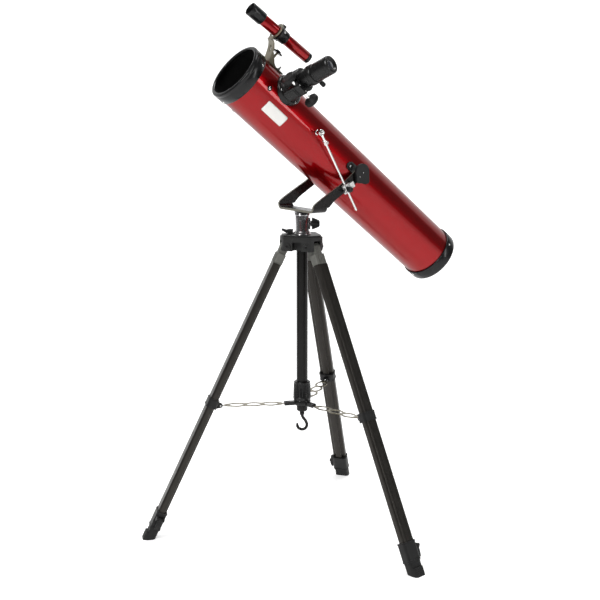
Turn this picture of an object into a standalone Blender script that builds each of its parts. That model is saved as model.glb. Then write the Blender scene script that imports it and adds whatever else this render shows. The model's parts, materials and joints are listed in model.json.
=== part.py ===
"""Newtonian telescope on an alt-azimuth tripod. Dimensions are in millimetres, scaled to metres at the end.

Frame: +Z up, origin on the floor under the middle of the object's box. The altitude axis lies along Y,
and the tube's front points towards -X and up. Each moving piece hangs from an empty on its joint's axis.
"""
from math import atan2, cos, pi, radians, sin

import bmesh
import bpy
from mathutils import Matrix, Vector

MM = 0.001
GAP = 0.3                        # clearance between pieces that touch

# Stand
COLUMN_XY = (-31.4, 58.8)        # the column's axis in plan
LEG_AZIMUTHS = {"left": 159.08, "right": 279.08, "back": 39.08}
FOOT_CIRCLE = 335.0              # where the leg axes meet the floor
LEG_APEX = 700.7                 # height where the leg axes meet
SPLAY = atan2(FOOT_CIRCLE, LEG_APEX)
LEG_PIVOT = (37.6, 622.0)        # radius and height of a leg's top pivot
LUG_PIVOT = (178.0, 284.0)       # of the strut's outer pivot, on the leg clamp
HUB_PIVOT = (34.0, 280.0)        # of the strut's inner pivot, on the brace hub
LEG_WIDTH, LEG_DEPTH = 31.0, 19.0
LEG_WALL = 1.6
LEG_BOTTOM, LEG_TOP = 50.0, 649.5    # ends of the upper leg, measured up the leg axis from the floor
COLLAR = (25.5, 65.0)            # ends of the lock collar on the same axis
LEVER_HINGE = (22.5, 52.0)       # the lock lever's hinge, beside the leg axis and up it
CLAMP_HEIGHT = 19.0
STRUT_HALF_WIDTHS = (9.0, 13.5)  # at the strut's necks and beside its holes

# Column
GUIDE_RADIUS, GUIDE_BORE = 12.0, 10.6
GUIDE_BOTTOM = 261.0
HUB_BOTTOM, HUB_TOP, HUB_RADIUS = 613.5, 646.0, 47.0
LOCK_AZIMUTH, LOCK_SLOPE = radians(137), radians(20)
LOCK_SEAT = (31.3, 650.5)        # radius and height where the column lock screw leaves its boss
HEAD_AZIMUTH = -radians(33.17)   # the side that the azimuth screw is on
POST_RADIUS, POST_TOP = 14.0, 694.4
YOKE_PLATE = (694.7, 699.2)      # underside and top of the yoke's base plate
YOKE_HALF_WIDTH = 17.0
YOKE_BEND = 12.0
ARM_FACES = (63.3, 67.8)         # inner and outer face of a yoke arm, from the tube's axis
ARM_HALF_WIDTH = 12.5

# Optical tube, in its own frame: Z to the front, X up, -Y to the knob side
ALTITUDE_AXIS = (99.4, 772.8)    # ahead of the column's axis, and height
ALTITUDE = radians(38.31)
TUBE_RADIUS, TUBE_WALL = 58.7, 0.9
TUBE_REAR, TUBE_FRONT = -322.0, 325.0
RING_RADIUS = 61.6
SCREW_ANGLES = (62.6, 182.6, -57.4)
FOCUS_STATION, FOCUS_ANGLE = 236.0, 59.3
SPIDER_STATION, SPIDER_ANGLE = 273.0, 87.9
DRAWTUBE_RADIUS = 18.0
HOLDER = (120.0, 132.0)          # ends of the eyepiece holder on the drawtube, out from the tube's axis
PINION_OFFSET, PINION_HEIGHT = 22.0, 96.0
FINDER_ANGLE = 14.3
FINDER_CENTRE = (114.6, 305.6)   # radius and station of the finder collar's middle
FINDER_TILT = radians(-3.9)
NUT_STATION, NUT_SEAT = 284.0, 84.0
ROD_EYE, ROD_END = (-102.5, 85.0), (-12.2, -76.2)   # X and Z from the altitude axis
ROD_PLANE = 73.0
ROD_RADIUS = 2.2
CLAMP_ON_ROD = 131.0             # the rod clamp's middle, down the rod from its eye

TURNS = 24                       # sides of a round piece
BIG_TURNS = 44                   # and of the optical tube and its rings


def clear_scene():
    for obj in list(bpy.data.objects):
        bpy.data.objects.remove(obj, do_unlink=True)


def material(name, colour, roughness, metallic):
    shade = bpy.data.materials.new(name)
    shade.use_nodes = True
    socket = shade.node_tree.nodes["Principled BSDF"].inputs
    socket["Base Color"].default_value = (*colour, 1.0)
    socket["Roughness"].default_value = roughness
    socket["Metallic"].default_value = metallic
    return shade


# --- shapes, each returned as a mesh in millimetres ---

def solid(points, faces):
    mesh = bpy.data.meshes.new("shape")
    mesh.from_pydata([tuple(p) for p in points], [], faces)
    bm = bmesh.new()
    bm.from_mesh(mesh)
    bmesh.ops.recalc_face_normals(bm, faces=bm.faces)
    bm.to_mesh(mesh)
    bm.free()
    return mesh


def turned(profile, sides=TURNS):
    """A closed outline of (radius, height) points turned about Z; neighbours on the axis close the end."""
    points, rows, faces = [], [], []
    for radius, height in profile:
        count = sides if radius > 1e-6 else 1
        rows.append([len(points) + k for k in range(count)])
        for k in range(count):
            a = 2 * pi * k / sides
            points.append((radius * cos(a), radius * sin(a), height))
    for lower, upper in zip(rows, rows[1:] + rows[:1]):
        if len(lower) == 1 and len(upper) == 1:
            continue
        for k in range(sides):
            n = (k + 1) % sides
            ring = [row[i % len(row)] for row, i in ((lower, k), (lower, n), (upper, n), (upper, k))]
            faces.append(list(dict.fromkeys(ring)))
    return solid(points, faces)


def cylinder(radius, low, high, sides=TURNS):
    return turned([(0, low), (radius, low), (radius, high), (0, high)], sides)


def prism(outline, low, high):
    """A plane outline raised along Z."""
    count = len(outline)
    points = [(x, y, low) for x, y in outline] + [(x, y, high) for x, y in outline]
    sides = [[k, (k + 1) % count, (k + 1) % count + count, k + count] for k in range(count)]
    return solid(points, [list(range(count)), list(range(count, 2 * count))] + sides)


def block(low, high):
    (x0, y0, z0), (x1, y1, z1) = low, high
    return prism([(x0, y0), (x1, y0), (x1, y1), (x0, y1)], z0, z1)


def arc(centre, radius, start, end, count):
    """Points of an arc in the plane, angles in degrees."""
    steps = [radians(start + (end - start) * k / count) for k in range(count + 1)]
    return [(centre[0] + radius * cos(a), centre[1] + radius * sin(a)) for a in steps]


def rounded(half_x, half_y, radius, count=4):
    """A rectangle with round corners."""
    outline = []
    for turn, (sx, sy) in enumerate(((1, 1), (-1, 1), (-1, -1), (1, -1))):
        centre = (sx * (half_x - radius), sy * (half_y - radius))
        outline += arc(centre, radius, 90 * turn, 90 * turn + 90, count)
    return outline


def bar(path, radius, sides=10):
    """A round bar along a list of points."""
    path = [Vector(p) for p in path]
    side = (path[1] - path[0]).orthogonal().normalized()
    points = []
    for k, p in enumerate(path):
        ahead = (path[min(k + 1, len(path) - 1)] - path[max(k - 1, 0)]).normalized()
        side = (side - ahead * side.dot(ahead)).normalized()
        other = ahead.cross(side)
        turn = [2 * pi * s / sides for s in range(sides)]
        points += [p + radius * (cos(a) * side + sin(a) * other) for a in turn]
    last = (len(path) - 1) * sides
    faces = [list(range(sides)), list(range(last, last + sides))]
    for k in range(len(path) - 1):
        for s in range(sides):
            a, b = k * sides + s, k * sides + (s + 1) % sides
            faces.append([a, b, b + sides, a + sides])
    return solid(points, faces)


def moved(mesh, location=(0, 0, 0), turn=None):
    mesh.transform(Matrix.Translation(location) @ (turn or Matrix()))
    return mesh


def along(axis, mesh):
    """Turns a shape made along Z so that it runs along another axis."""
    target = {"X": Vector((1, 0, 0)), "Y": Vector((0, 1, 0)), "-X": Vector((-1, 0, 0)),
              "-Y": Vector((0, -1, 0))}[axis]
    return moved(mesh, turn=Vector((0, 0, 1)).rotation_difference(target).to_matrix().to_4x4())


def combine(operation, base, tools):
    subject = bpy.data.objects.new("subject", base)
    bpy.context.collection.objects.link(subject)
    helpers = []
    for mesh in tools:
        tool = bpy.data.objects.new("tool", mesh)
        bpy.context.collection.objects.link(tool)
        helpers.append(tool)
        modifier = subject.modifiers.new("combine", "BOOLEAN")
        modifier.operation = operation
        modifier.solver = "EXACT"
        modifier.object = tool
    bpy.context.view_layer.update()
    result = bpy.data.meshes.new_from_object(subject.evaluated_get(bpy.context.evaluated_depsgraph_get()))
    for obj in [subject] + helpers:
        bpy.data.objects.remove(obj, do_unlink=True)
    return result


def join(base, *tools):
    return combine("UNION", base, tools)


def cut(base, *tools):
    return combine("DIFFERENCE", base, tools)


# --- placing ---

def frame(name, parent=None, location=(0, 0, 0), turn=None):
    """An empty that carries pieces; its origin lies on their joint's axis."""
    empty = bpy.data.objects.new(name, None)
    bpy.context.collection.objects.link(empty)
    empty.parent = parent
    empty.location = Vector(location) * MM
    empty.rotation_euler = (turn or Matrix()).to_euler()
    return empty


def piece(name, mesh, shade, parent, location=(0, 0, 0), turn=None):
    mesh.transform(Matrix.Scale(MM, 4))
    mesh.name = name
    mesh.materials.clear()
    mesh.materials.append(shade)
    mesh.shade_smooth()
    mesh.set_sharp_from_angle(angle=radians(35))
    obj = bpy.data.objects.new(name, mesh)
    bpy.context.collection.objects.link(obj)
    obj.parent = parent
    obj.location = Vector(location) * MM
    obj.rotation_euler = (turn or Matrix()).to_euler()
    return obj


def rotation(axis, angle):
    return Matrix.Rotation(angle, 4, axis)


def columns(x, y, z):
    """The rotation whose axes are the three given directions."""
    return Matrix((Vector(x), Vector(y), Vector(z))).transposed().to_4x4()


def radial(angle, height=0.0):
    """A turn that puts +X at an angle round the tube, from the top towards the knob side."""
    return Matrix.Translation((0, 0, height)) @ rotation("Z", -radians(angle))


# --- the stand ---

def hub_casting(parent, shade):
    corners = []
    for azimuth in sorted(LEG_AZIMUTHS.values()):
        for offset in (-27, -21, -10, 0, 10, 21, 27):
            radius = HUB_RADIUS * (0.95 if abs(offset) == 27 else 1.0)
            angle = radians(azimuth + offset)
            corners.append((radius * cos(angle), radius * sin(angle)))
    body = prism(corners, HUB_BOTTOM, HUB_TOP - 4)
    plate = prism([(0.93 * x, 0.93 * y) for x, y in corners], HUB_TOP - 6, HUB_TOP)
    boss = moved(block((20, -5.5, 640), (LOCK_SEAT[0] - GAP, 5.5, 656)), turn=rotation("Z", LOCK_AZIMUTH))
    body = join(body, plate, boss)
    slots = []
    for azimuth in LEG_AZIMUTHS.values():
        slot = block((26.5, -9.0, HUB_BOTTOM - 5), (60, 9.0, HUB_TOP - 11))
        slots.append(moved(slot, turn=rotation("Z", radians(azimuth))))
    bore = cylinder(GUIDE_RADIUS + GAP, HUB_BOTTOM - 5, HUB_TOP + 10)
    foot = cylinder(20.0, HUB_TOP, HUB_TOP + 12)
    thread = join(cylinder(2.8, -9, 5, 12), cylinder(4.3, 0, 20, 16))
    thread = moved(thread, (LOCK_SEAT[0], 0, LOCK_SEAT[1]), rotation("Y", pi / 2 - LOCK_SLOPE))
    thread = moved(thread, turn=rotation("Z", LOCK_AZIMUTH))
    piece("hub_casting", cut(body, *slots, bore, foot, thread), shade, parent)


def guide_tube(parent, shade):
    top = HUB_TOP - 4
    profile = [(0, GUIDE_BOTTOM), (9, GUIDE_BOTTOM), (GUIDE_RADIUS, GUIDE_BOTTOM + 4), (GUIDE_RADIUS, top),
               (GUIDE_BORE, top), (GUIDE_BORE, GUIDE_BOTTOM + 16), (0, GUIDE_BOTTOM + 16)]
    socket = cylinder(3.6, GUIDE_BOTTOM - 5, GUIDE_BOTTOM + 10, 16)
    piece("guide_tube", cut(turned(profile), socket), shade, parent)


def weight_hook(parent, shade):
    """A J hook whose opening faces away from the azimuth screw's side."""
    bend, wire, middle = 10.5, 3.2, -31.5
    curve = [(x, 0, z) for x, z in arc((0, middle), bend, 30, -200, 16)]
    hook = bar([(0, 0, 8), (0, 0, -6), (0.6, 0, -12), (4.5, 0, -18.5), (8, 0, -23)] + curve, wire, 10)
    neck = cylinder(5.2, -9, -GAP, 16)
    piece("weight_hook", join(hook, neck), shade, parent, turn=rotation("Z", HEAD_AZIMUTH))


def centre_column(parent, shade):
    """The rising column with the head in which the yoke turns."""
    inner = GUIDE_BORE - GAP
    profile = [(0, 300), (inner, 300), (inner, HUB_TOP + GAP), (19, HUB_TOP + GAP), (19, 648), (15, 653),
               (POST_RADIUS, 654), (POST_RADIUS, 685), (16, 686), (16, POST_TOP), (0, POST_TOP)]
    ears = moved(prism(rounded(5.5, 12, 3, 3), POST_RADIUS - 4, POST_RADIUS + 3), turn=columns(
        (0, 1, 0), (0, 0, 1), (1, 0, 0)))
    ears = moved(ears, (0, 0, 668), None)
    thread = along("X", cylinder(2.8, POST_RADIUS - 3.5, 40, 12))
    turn = rotation("Z", HEAD_AZIMUTH)
    ears = moved(ears, turn=turn)
    thread = moved(moved(thread, (0, 0, 668)), turn=turn)
    spindle = cylinder(6.3, 655, POST_TOP + 5, 24)
    piece("centre_column", cut(join(turned(profile), ears), spindle, thread), shade, parent,
          (0, 0, -HUB_TOP))


def wing_screw(name, parent, shade, reach, shank, grip, width, root, location, turn):
    """A thumb screw along +X from its frame: a shank behind the origin and a winged grip in front."""
    stem = cylinder(2.5, -shank, reach * 0.4, 12)
    boss = turned([(0, GAP), (root, GAP), (0.7 * root, reach), (0, reach)], 16)
    wing = moved(prism([(-width, 4), (width, 4), (grip, reach), (-grip, reach)], -2.2, 2.2),
                 turn=columns((0, 1, 0), (0, 0, 1), (1, 0, 0)))
    return piece(name, along("X", join(stem, boss, wing)), shade, parent, location, turn)


def yoke(parent, shade):
    """A flat bar bent up at both ends into arms that slope to the altitude axis."""
    low, high = YOKE_PLATE
    bottom, top = low - HUB_TOP, high - HUB_TOP
    inner, outer = ARM_FACES
    thick = outer - inner
    reach = outer - YOKE_BEND
    plate = block((-YOKE_HALF_WIDTH, -reach - 1, bottom), (YOKE_HALF_WIDTH, reach + 1, top))
    profile = arc((reach, bottom + YOKE_BEND), YOKE_BEND, -90, 0, 6)
    profile += arc((reach, bottom + YOKE_BEND), YOKE_BEND - thick, 0, -90, 6)
    axis = (ALTITUDE_AXIS[0], ALTITUDE_AXIS[1] - HUB_TOP)
    foot = bottom + YOKE_BEND
    arm = [(-YOKE_HALF_WIDTH, foot - 1.5), (19, foot - 1.5), (22.5, foot - 0.7), (27, foot + 4.8),
           (36, foot + 12.8)]
    arm += arc(axis, ARM_HALF_WIDTH, -58.6, 128.6, 12)
    arm += [(57, foot + 48.3), (-YOKE_HALF_WIDTH, foot + 6.3)]
    upright = columns((1, 0, 0), (0, 0, 1), (0, -1, 0))
    parts = [cylinder(6.0, 656 - HUB_TOP, bottom + 2, 24)]
    for side in (-1, 1):
        bend = prism([(side * y, z) for y, z in profile], -YOKE_HALF_WIDTH, YOKE_HALF_WIDTH)
        parts.append(moved(bend, turn=columns((0, 1, 0), (0, 0, 1), (1, 0, 0))))
        faces = sorted((-side * inner, -side * outer))
        parts.append(moved(prism(arm, *faces), turn=upright))
    hole = moved(along("Y", cylinder(4.6, -90, 90, 24)), (axis[0], 0, axis[1]))
    piece("yoke", cut(join(plate, *parts), hole), shade, parent)


def leg_section(inset=0.0):
    """The leg's outline: a wide round-edged body with a narrow ridge on its inner edge."""
    half, depth = LEG_WIDTH / 2 - inset, LEG_DEPTH / 2 - inset
    shoulder, ridge, edge = 4.5 - inset, 7.5 - inset, 5.0
    outline = arc((-half + edge, -depth + edge), edge, 180, 270, 3)
    outline += arc((half - edge, -depth + edge), edge, 270, 360, 3)
    outline += [(half, shoulder - 2), (half - 2, shoulder), (ridge, shoulder + 0.6), (ridge, depth - 1.2),
                (ridge - 1.5, depth), (-ridge + 1.5, depth), (-ridge, depth - 1.2), (-ridge, shoulder + 0.6),
                (-half + 2, shoulder), (-half, shoulder - 2)]
    return outline


def collar_outline(wall):
    return rounded(LEG_WIDTH / 2 + wall, LEG_DEPTH / 2 + wall, 6.0)


def leg_pieces(side, leg, offset, shades):
    """The upper leg and what is fixed to it; offset puts the leg's own axis at its place in the leg frame."""
    def put(name, mesh, shade):
        piece(f"{name}_{side}", moved(mesh, offset), shade, leg)

    pivot = LEG_PIVOT[1] / cos(SPLAY)
    hollow = prism(leg_section(LEG_WALL), LEG_BOTTOM - 5, LEG_TOP - 3)
    put("upper_leg", cut(prism(leg_section(), LEG_BOTTOM, LEG_TOP), hollow), shades["leg"])

    body = prism(rounded(14.0, 9.0, 3.0, 2), LEG_TOP + GAP, LEG_TOP + 22)
    ribs = [block((x - 1.2, -10.2, LEG_TOP + 1), (x + 1.2, -8, LEG_TOP + 21)) for x in (-9, -3, 3, 9)]
    tongue = [(-7.5, LEG_TOP + 15), (7.5, LEG_TOP + 15)] + arc((0, pivot), 8.5, 0, 180, 8)
    tongue = moved(prism(tongue, -8.2, 8.2), turn=columns((0, 1, 0), (0, 0, 1), (1, 0, 0)))
    put("leg_top", join(body, tongue, *ribs), shades["cast"])

    middle = 292.0 / cos(SPLAY)
    lug_y, lug_s = -offset[1], -offset[2]
    low, high = middle - CLAMP_HEIGHT / 2, middle + CLAMP_HEIGHT / 2
    lug = [(14, high - 8), (8, high - 8), (8, low + 1), (14, low + 1)] + arc((lug_y, lug_s), 4.5, -60, 120, 6)
    lug = prism(lug, -5.0, 5.0)
    lug = moved(lug, turn=columns((0, 1, 0), (0, 0, 1), (1, 0, 0)))
    hole = prism(leg_section(-GAP), low - 5, high + 5)
    ring = cut(prism(collar_outline(2.0), low, high), hole)
    clear = cut(lug, prism(leg_section(-GAP), low - 5, high + 5))
    slot = block((-2.2, lug_y - 6.5, lug_s - 12), (2.2, lug_y + 12, lug_s + 12))
    put("leg_clamp", cut(join(ring, clear), slot), shades["plastic"])

    bottom, top = COLLAR
    shell = prism(collar_outline(1.8), bottom, top)
    inside = prism(leg_section(-GAP), LEG_BOTTOM - GAP, top + 5)
    passage = prism(leg_section(LEG_WALL), bottom - 5, LEG_BOTTOM + 5)
    hinge = LEVER_HINGE[1]
    ears = [block((15, y0, hinge - 6), (26, y0 + 4, hinge + 6)) for y0 in (-9, 5)]
    put("lock_collar", cut(join(shell, *ears), inside, passage), shades["plastic"])


def leg_moving_pieces(side, leg, offset, shades):
    hinge = Vector((LEVER_HINGE[0], 0, LEVER_HINGE[1])) + Vector(offset)
    lever = frame(f"lever_frame_{side}", leg, hinge)
    grip = arc((0, 0), 2.9, 0, 180, 8) + [(-2.9, -10), (-1.6, -24), (1.6, -24), (3.9, -12)]
    shape = moved(prism(grip, -4.5, 4.5), turn=columns((1, 0, 0), (0, 0, 1), (0, -1, 0)))
    piece(f"lock_lever_{side}", shape, shades["plastic"], lever)

    lower = frame(f"lower_frame_{side}", leg, offset)
    rod = cut(prism(leg_section(LEG_WALL + GAP), 8, 380), prism(leg_section(2 * LEG_WALL), 24, 400))
    piece(f"lower_leg_{side}", rod, shades["leg"], lower)
    lean = rotation("X", SPLAY)
    floor = moved(block((-60, -80, -60), (60, 80, 0)), turn=lean)
    shoe = prism(collar_outline(0.6), -14, COLLAR[0] - GAP)
    toe = moved(prism(rounded(14.5, 11.5, 5.0), -14, 12), (0, -2.5, 0))
    socket = prism(leg_section(LEG_WALL - 0.1), 7.6, 80)
    piece(f"foot_{side}", cut(join(shoe, toe), socket, floor), shades["rubber"], lower)


def strut(side, parent, shade):
    """A stamped link with wavy edges round three oval holes, from the brace hub's lug to the leg clamp's."""
    span = Vector((LUG_PIVOT[0] - HUB_PIVOT[0], LUG_PIVOT[1] - HUB_PIVOT[1]))
    length = span.length
    tongue, thick, end = 2.0, 2.0, 16.0
    pitch = (length - 2 * end) / 3
    neck, belly = STRUT_HALF_WIDTHS
    steps = 24
    edge = []
    for k in range(steps + 1):
        wave = (1 - cos(2 * pi * 3 * k / steps)) / 2
        edge.append((end + 3 * pitch * k / steps, neck + (belly - neck) * wave))
    edge = [(-4, tongue), (7, tongue)] + edge + [(length - 7, tongue), (length + 4, tongue)]
    plate = prism(edge + [(x, -y) for x, y in reversed(edge)], -thick / 2, thick / 2)
    holes = []
    for k in range(3):
        middle = end + pitch * (k + 0.5)
        oval = [(middle + 16.0 * cos(a), 9.5 * sin(a)) for a in [2 * pi * n / 20 for n in range(20)]]
        holes.append(prism(oval, -5, 5))
    rise = atan2(span.y, span.x)
    turn = columns((0, -cos(rise), sin(rise)), (1, 0, 0), (0, sin(rise), cos(rise)))
    piece(f"strut_{side}", moved(cut(plate, *holes), turn=turn), shade, parent)


def brace_hub(parent, shade):
    low, high = HUB_PIVOT[1] - 4, HUB_PIVOT[1] + 7
    body = cylinder(18.5, low, high)
    lugs = []
    for azimuth in LEG_AZIMUTHS.values():
        lug = block((12, -5, low), (HUB_PIVOT[0] + 5, 5, low + 8))
        gap = block((HUB_PIVOT[0] - 6.5, -2.4, low - 5), (60, 2.4, high + 5))
        lugs.append(moved(cut(lug, gap), turn=rotation("Z", radians(azimuth))))
    bore = cylinder(GUIDE_RADIUS + GAP, low - 5, high + 5)
    shape = cut(join(body, *lugs), bore)
    piece("brace_hub", moved(shape, (0, 0, -HUB_PIVOT[1])), shade, parent)


def spreader_sleeve(parent, shade):
    low, high = 287.0 + GAP - HUB_PIVOT[1], 328.0 - HUB_PIVOT[1]
    profile = [(GUIDE_RADIUS + GAP, low), (18.6, low), (19.4, low + 6), (17.4, high - 3), (16, high),
               (GUIDE_RADIUS + GAP, high)]
    piece("spreader_lock_sleeve", turned(profile), shade, parent)


# --- the optical tube ---

def optical_tube(parent, shade):
    inner = TUBE_RADIUS - TUBE_WALL
    wall = turned([(inner, TUBE_REAR), (TUBE_RADIUS, TUBE_REAR), (TUBE_RADIUS, TUBE_FRONT),
                   (inner, TUBE_FRONT)], BIG_TURNS)
    focus_hole = moved(along("X", cylinder(19.0, 30, 80, 24)), turn=radial(FOCUS_ANGLE, FOCUS_STATION))
    piece("optical_tube", cut(wall, focus_hole), shade, parent)


def front_ring(parent, shade):
    profile = [(TUBE_RADIUS + GAP, 304.3), (RING_RADIUS, 304.3), (RING_RADIUS, 328.5), (60.6, 330.4),
               (58.5, 331), (54.5, 331), (53.5, 330), (53.5, TUBE_FRONT + GAP),
               (TUBE_RADIUS + GAP, TUBE_FRONT + GAP)]
    piece("front_ring", turned(profile, BIG_TURNS), shade, parent)


def rear_cell(parent, shade):
    floor, back = TUBE_REAR - GAP, -328.3
    profile = [(0, back), (58.6, back), (60.7, back + 0.9), (RING_RADIUS, back + 3), (RING_RADIUS, -300.7),
               (TUBE_RADIUS + GAP, -300.7), (TUBE_RADIUS + GAP, floor), (42, floor), (42, floor + 13),
               (38.6, floor + 13), (38.6, floor), (0, floor)]
    piece("rear_cell", turned(profile, BIG_TURNS), shade, parent)


def primary_mirror(parent, shade):
    bottom = TUBE_REAR
    dish = [(38 * (1 - k / 3), bottom + 9 - 0.9 * (1 - (1 - k / 3) ** 2)) for k in range(3)]
    piece("primary_mirror", turned([(0, bottom), (38, bottom)] + dish + [(0, bottom + 8.1)]), shade, parent)


def spider(parent, shade):
    """Three vanes from a hub to the tube's wall."""
    reach = TUBE_RADIUS - TUBE_WALL - GAP
    hub = cylinder(9, SPIDER_STATION - 9, SPIDER_STATION + 7, 24)
    vanes = []
    for k in range(3):
        vane = block((4, -0.9, SPIDER_STATION - 4), (reach - 0.8, 0.9, SPIDER_STATION + 4))
        pad = block((reach - 3, -4, SPIDER_STATION - 4), (reach - 0.8, 4, SPIDER_STATION + 4))
        vanes += [moved(m, turn=radial(SPIDER_ANGLE + 120 * k)) for m in (vane, pad)]
    piece("spider", join(hub, *vanes), shade, parent)


def secondary_mirror(parent, shade):
    """The diagonal mirror, cut at 45 degrees and facing the focuser, on its stem."""
    top = SPIDER_STATION - 9 - GAP
    body = cylinder(12.5, FOCUS_STATION - 14, top, 24)
    facing = radial(FOCUS_ANGLE, FOCUS_STATION) @ rotation("Y", radians(135))
    wedge = moved(block((-60, -40, 0), (60, 40, 60)), turn=facing)
    piece("secondary_mirror", cut(body, wedge), shade, parent)


def focuser_housing(parent, shade):
    """The saddle flange and body that guide the drawtube, with the pinion's box on one side."""
    flange = moved(turned([(0, 44), (31.5, 44), (31.5, 61.5), (28.5, 64), (0, 64)], 32), (-3, 0, 0))
    body = turned([(0, 50), (25, 50), (25, 70), (23, 74), (23, 105), (0, 105)], 32)
    box = moved(prism(rounded(13, 10.5, 3, 3), 66, 105), (0, 18.5, 0))
    shape = join(flange, body, box)
    saddle = moved(along("X", cylinder(TUBE_RADIUS + GAP, -80, 80, 64)))
    bore = cylinder(DRAWTUBE_RADIUS + GAP, 30, 120, 28)
    gear_room = moved(along("X", cylinder(6.0, -7, 7, 20)), (0, PINION_OFFSET, PINION_HEIGHT))
    shaft_bore = moved(along("X", cylinder(3.4, -60, 60, 20)), (0, PINION_OFFSET, PINION_HEIGHT))
    piece("focuser_housing", cut(shape, saddle, bore, gear_room, shaft_bore), shade, parent)


def focuser_drawtube(parent, shade):
    """The drawtube with its rack flat and the eyepiece holder."""
    radius = DRAWTUBE_RADIUS
    low, high = HOLDER
    profile = [(16.1, 48), (radius, 48), (radius, low - 1), (20, low), (20, high), (16.1, high)]
    rack = block((-4, radius - 0.9, 40), (4, radius + 5, low - 3))
    thread = moved(along("-X", cylinder(2.3, 12, 30, 12)), (0, 0, (low + high) / 2 + 0.5))
    piece("focuser_drawtube", cut(turned(profile), rack, thread), shade, parent)


def pinion(parent, shades):
    shaft = join(along("X", cylinder(3.0, -36, 32, 16)), along("X", cylinder(4.4, -6, 6, 20)))
    piece("pinion_shaft", shaft, shades["chrome"], parent)
    knob = [(3.3, 0), (9, 0), (13.6, 1), (14.8, 2.5), (14.8, 9.5), (13.3, 11), (0, 11), (0, 7.5), (3.3, 7.5)]
    piece("focus_knob_front", along("X", turned(knob)), shades["plastic"], parent, (25, 0, 0))
    piece("focus_knob_rear", along("-X", turned(knob)), shades["plastic"], parent, (-29.5, 0, 0))


def eyepiece(parent, shade):
    """Barrel, body and a shallow cup round the eye lens."""
    seat = HOLDER[1] + GAP
    profile = [(0, 109), (12.5, 109), (12.5, 107), (15.8, 107), (15.8, seat), (18.5, seat), (18.5, 171),
               (15.5, 174.6), (10, 174.6), (8, 171.5), (0, 171.5)]
    piece("eyepiece", turned(profile), shade, parent)


def eyepiece_screw(parent, shade):
    profile = [(0, 16.4), (2.0, 16.4), (2.0, 22), (4.6, 24), (4.6, 32.5), (3.4, 34), (0, 34)]
    piece("eyepiece_screw", along("-X", turned(profile, 16)), shade, parent)


# --- the finder ---

def finder_bracket(parent, shade):
    """A stamped foot, a plate leaning forward and an eye round the finder."""
    under = TUBE_RADIUS + GAP
    strip = [(252, 60.9), (290.5, 60.9), (298, 80), (306, 92), (313.6, 95.6), (313.6, 93.2),
             (308, 90.5), (300, 78.5), (292, 58), (252, 58)]
    plate = moved(prism([(r, a) for a, r in strip], -14, 14), turn=columns((1, 0, 0), (0, 0, 1), (0, -1, 0)))
    plate = cut(plate, cylinder(under, 200, 400, 64))
    oval = [(7.0 * cos(a), 3.2 * sin(a)) for a in [2 * pi * n / 16 for n in range(16)]]
    hole = moved(prism(oval, -6, 6), (82, 0, 300.8), rotation("Y", radians(-34)))
    radius, station = 114.0, 313.3
    eye = moved(turned([(12.9, 0), (17.5, 0), (17.5, 2.2), (12.9, 2.2)]), (radius, 0, station))
    web = block((93.6, -9, station - 0.4), (radius - 15, 9, station + 2.2))
    stud = moved(along("X", cylinder(2.4, 60, NUT_SEAT + 4, 12)), (0, 0, NUT_STATION))
    piece("finder_bracket", join(cut(plate, hole), web, eye, stud), shade, parent, turn=radial(FINDER_ANGLE))


def finder_thumb_nut(parent, shade):
    profile = [(2.7, 0), (11, 0), (11, 3.2), (6, 3.2), (5, 6), (2.7, 6)]
    piece("finder_thumb_nut", along("X", turned(profile)), shade, parent)


def finder(parent, eye_parent, shades):
    """Collar, tube and objective cell about the aiming pivot; the eyepiece slides in the tube's rear."""
    collar = turned([(11 + GAP, -17), (12.6, -17), (13.0, -10), (15, 1), (16, 2.5), (16, 5), (11 + GAP, 5)])
    ear = moved(prism(rounded(4, 4.5, 2.5, 3), -2, 5), (15.5, 0, 0))
    ear = cut(ear, cylinder(11 + 2 * GAP, -10, 30))
    piece("finder_collar", join(collar, ear), shades["plastic"], parent)
    tube = [(9.8, -74), (11, -74), (11, 60), (9.8, 60)]
    piece("finder_tube", turned(tube), shades["red"], parent)
    cell = [(0, 66), (11.8, 66), (11.8, 80.5), (12.6, 80.5), (13.25, 79.5), (13.25, 47), (11 + GAP, 47),
            (11 + GAP, 60 + GAP), (0, 60 + GAP)]
    piece("finder_objective_cell", turned(cell), shades["plastic"], parent)
    cap = [(0, -77), (6, -77), (6, -82.4), (9.8, -82.4), (10.7, -81.4), (10.7, -74 - GAP), (9.5, -74 - GAP),
           (9.5, -60), (8, -60), (8, -72), (0, -72)]
    piece("finder_eyepiece", turned(cap), shades["plastic"], eye_parent)


# --- altitude bearing and fine adjustment ---

def altitude_flange(name, side, parent, shade):
    """A saddle on the tube's side with two screw ears and a threaded boss."""
    pad = arc((0, 24.5), 9, 0, 180, 6) + arc((0, -24.5), 9, 180, 360, 6)
    plate = prism(pad, 50, 61.6)
    boss = cylinder(11.5, 50, 62.7, 28)
    saddle = moved(cylinder(TUBE_RADIUS + GAP, -60, 60, 64), turn=columns((1, 0, 0), (0, 0, 1), (0, -1, 0)))
    thread = cylinder(4.3, 60.2, 80, 20)
    shape = cut(join(plate, boss), saddle, thread)
    piece(name, moved(shape, turn=sideways(side)), shade, parent)


def sideways(side):
    """Turns a shape made along Z towards the knob side (-1) or the far side (1)."""
    return columns((1, 0, 0), (0, 0, -side), (0, side, 0))


def altitude_knob(name, side, parent, shade):
    """A teardrop hand knob whose stud passes the yoke arm into the flange."""
    head = arc((1.0, 3.5), 16.5, -10, 190, 16) + arc((-8, -13.5), 6.5, 200, 262, 5)
    head += arc((12.3, -16.0), 6.0, -90, -8, 5)
    inner = ARM_FACES[1] + GAP
    stud = cylinder(4.0, 60.5, inner + 3, 20)
    shape = join(prism(head, inner, inner + 8), stud)
    piece(name, moved(shape, turn=sideways(side)), shade, parent)


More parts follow.
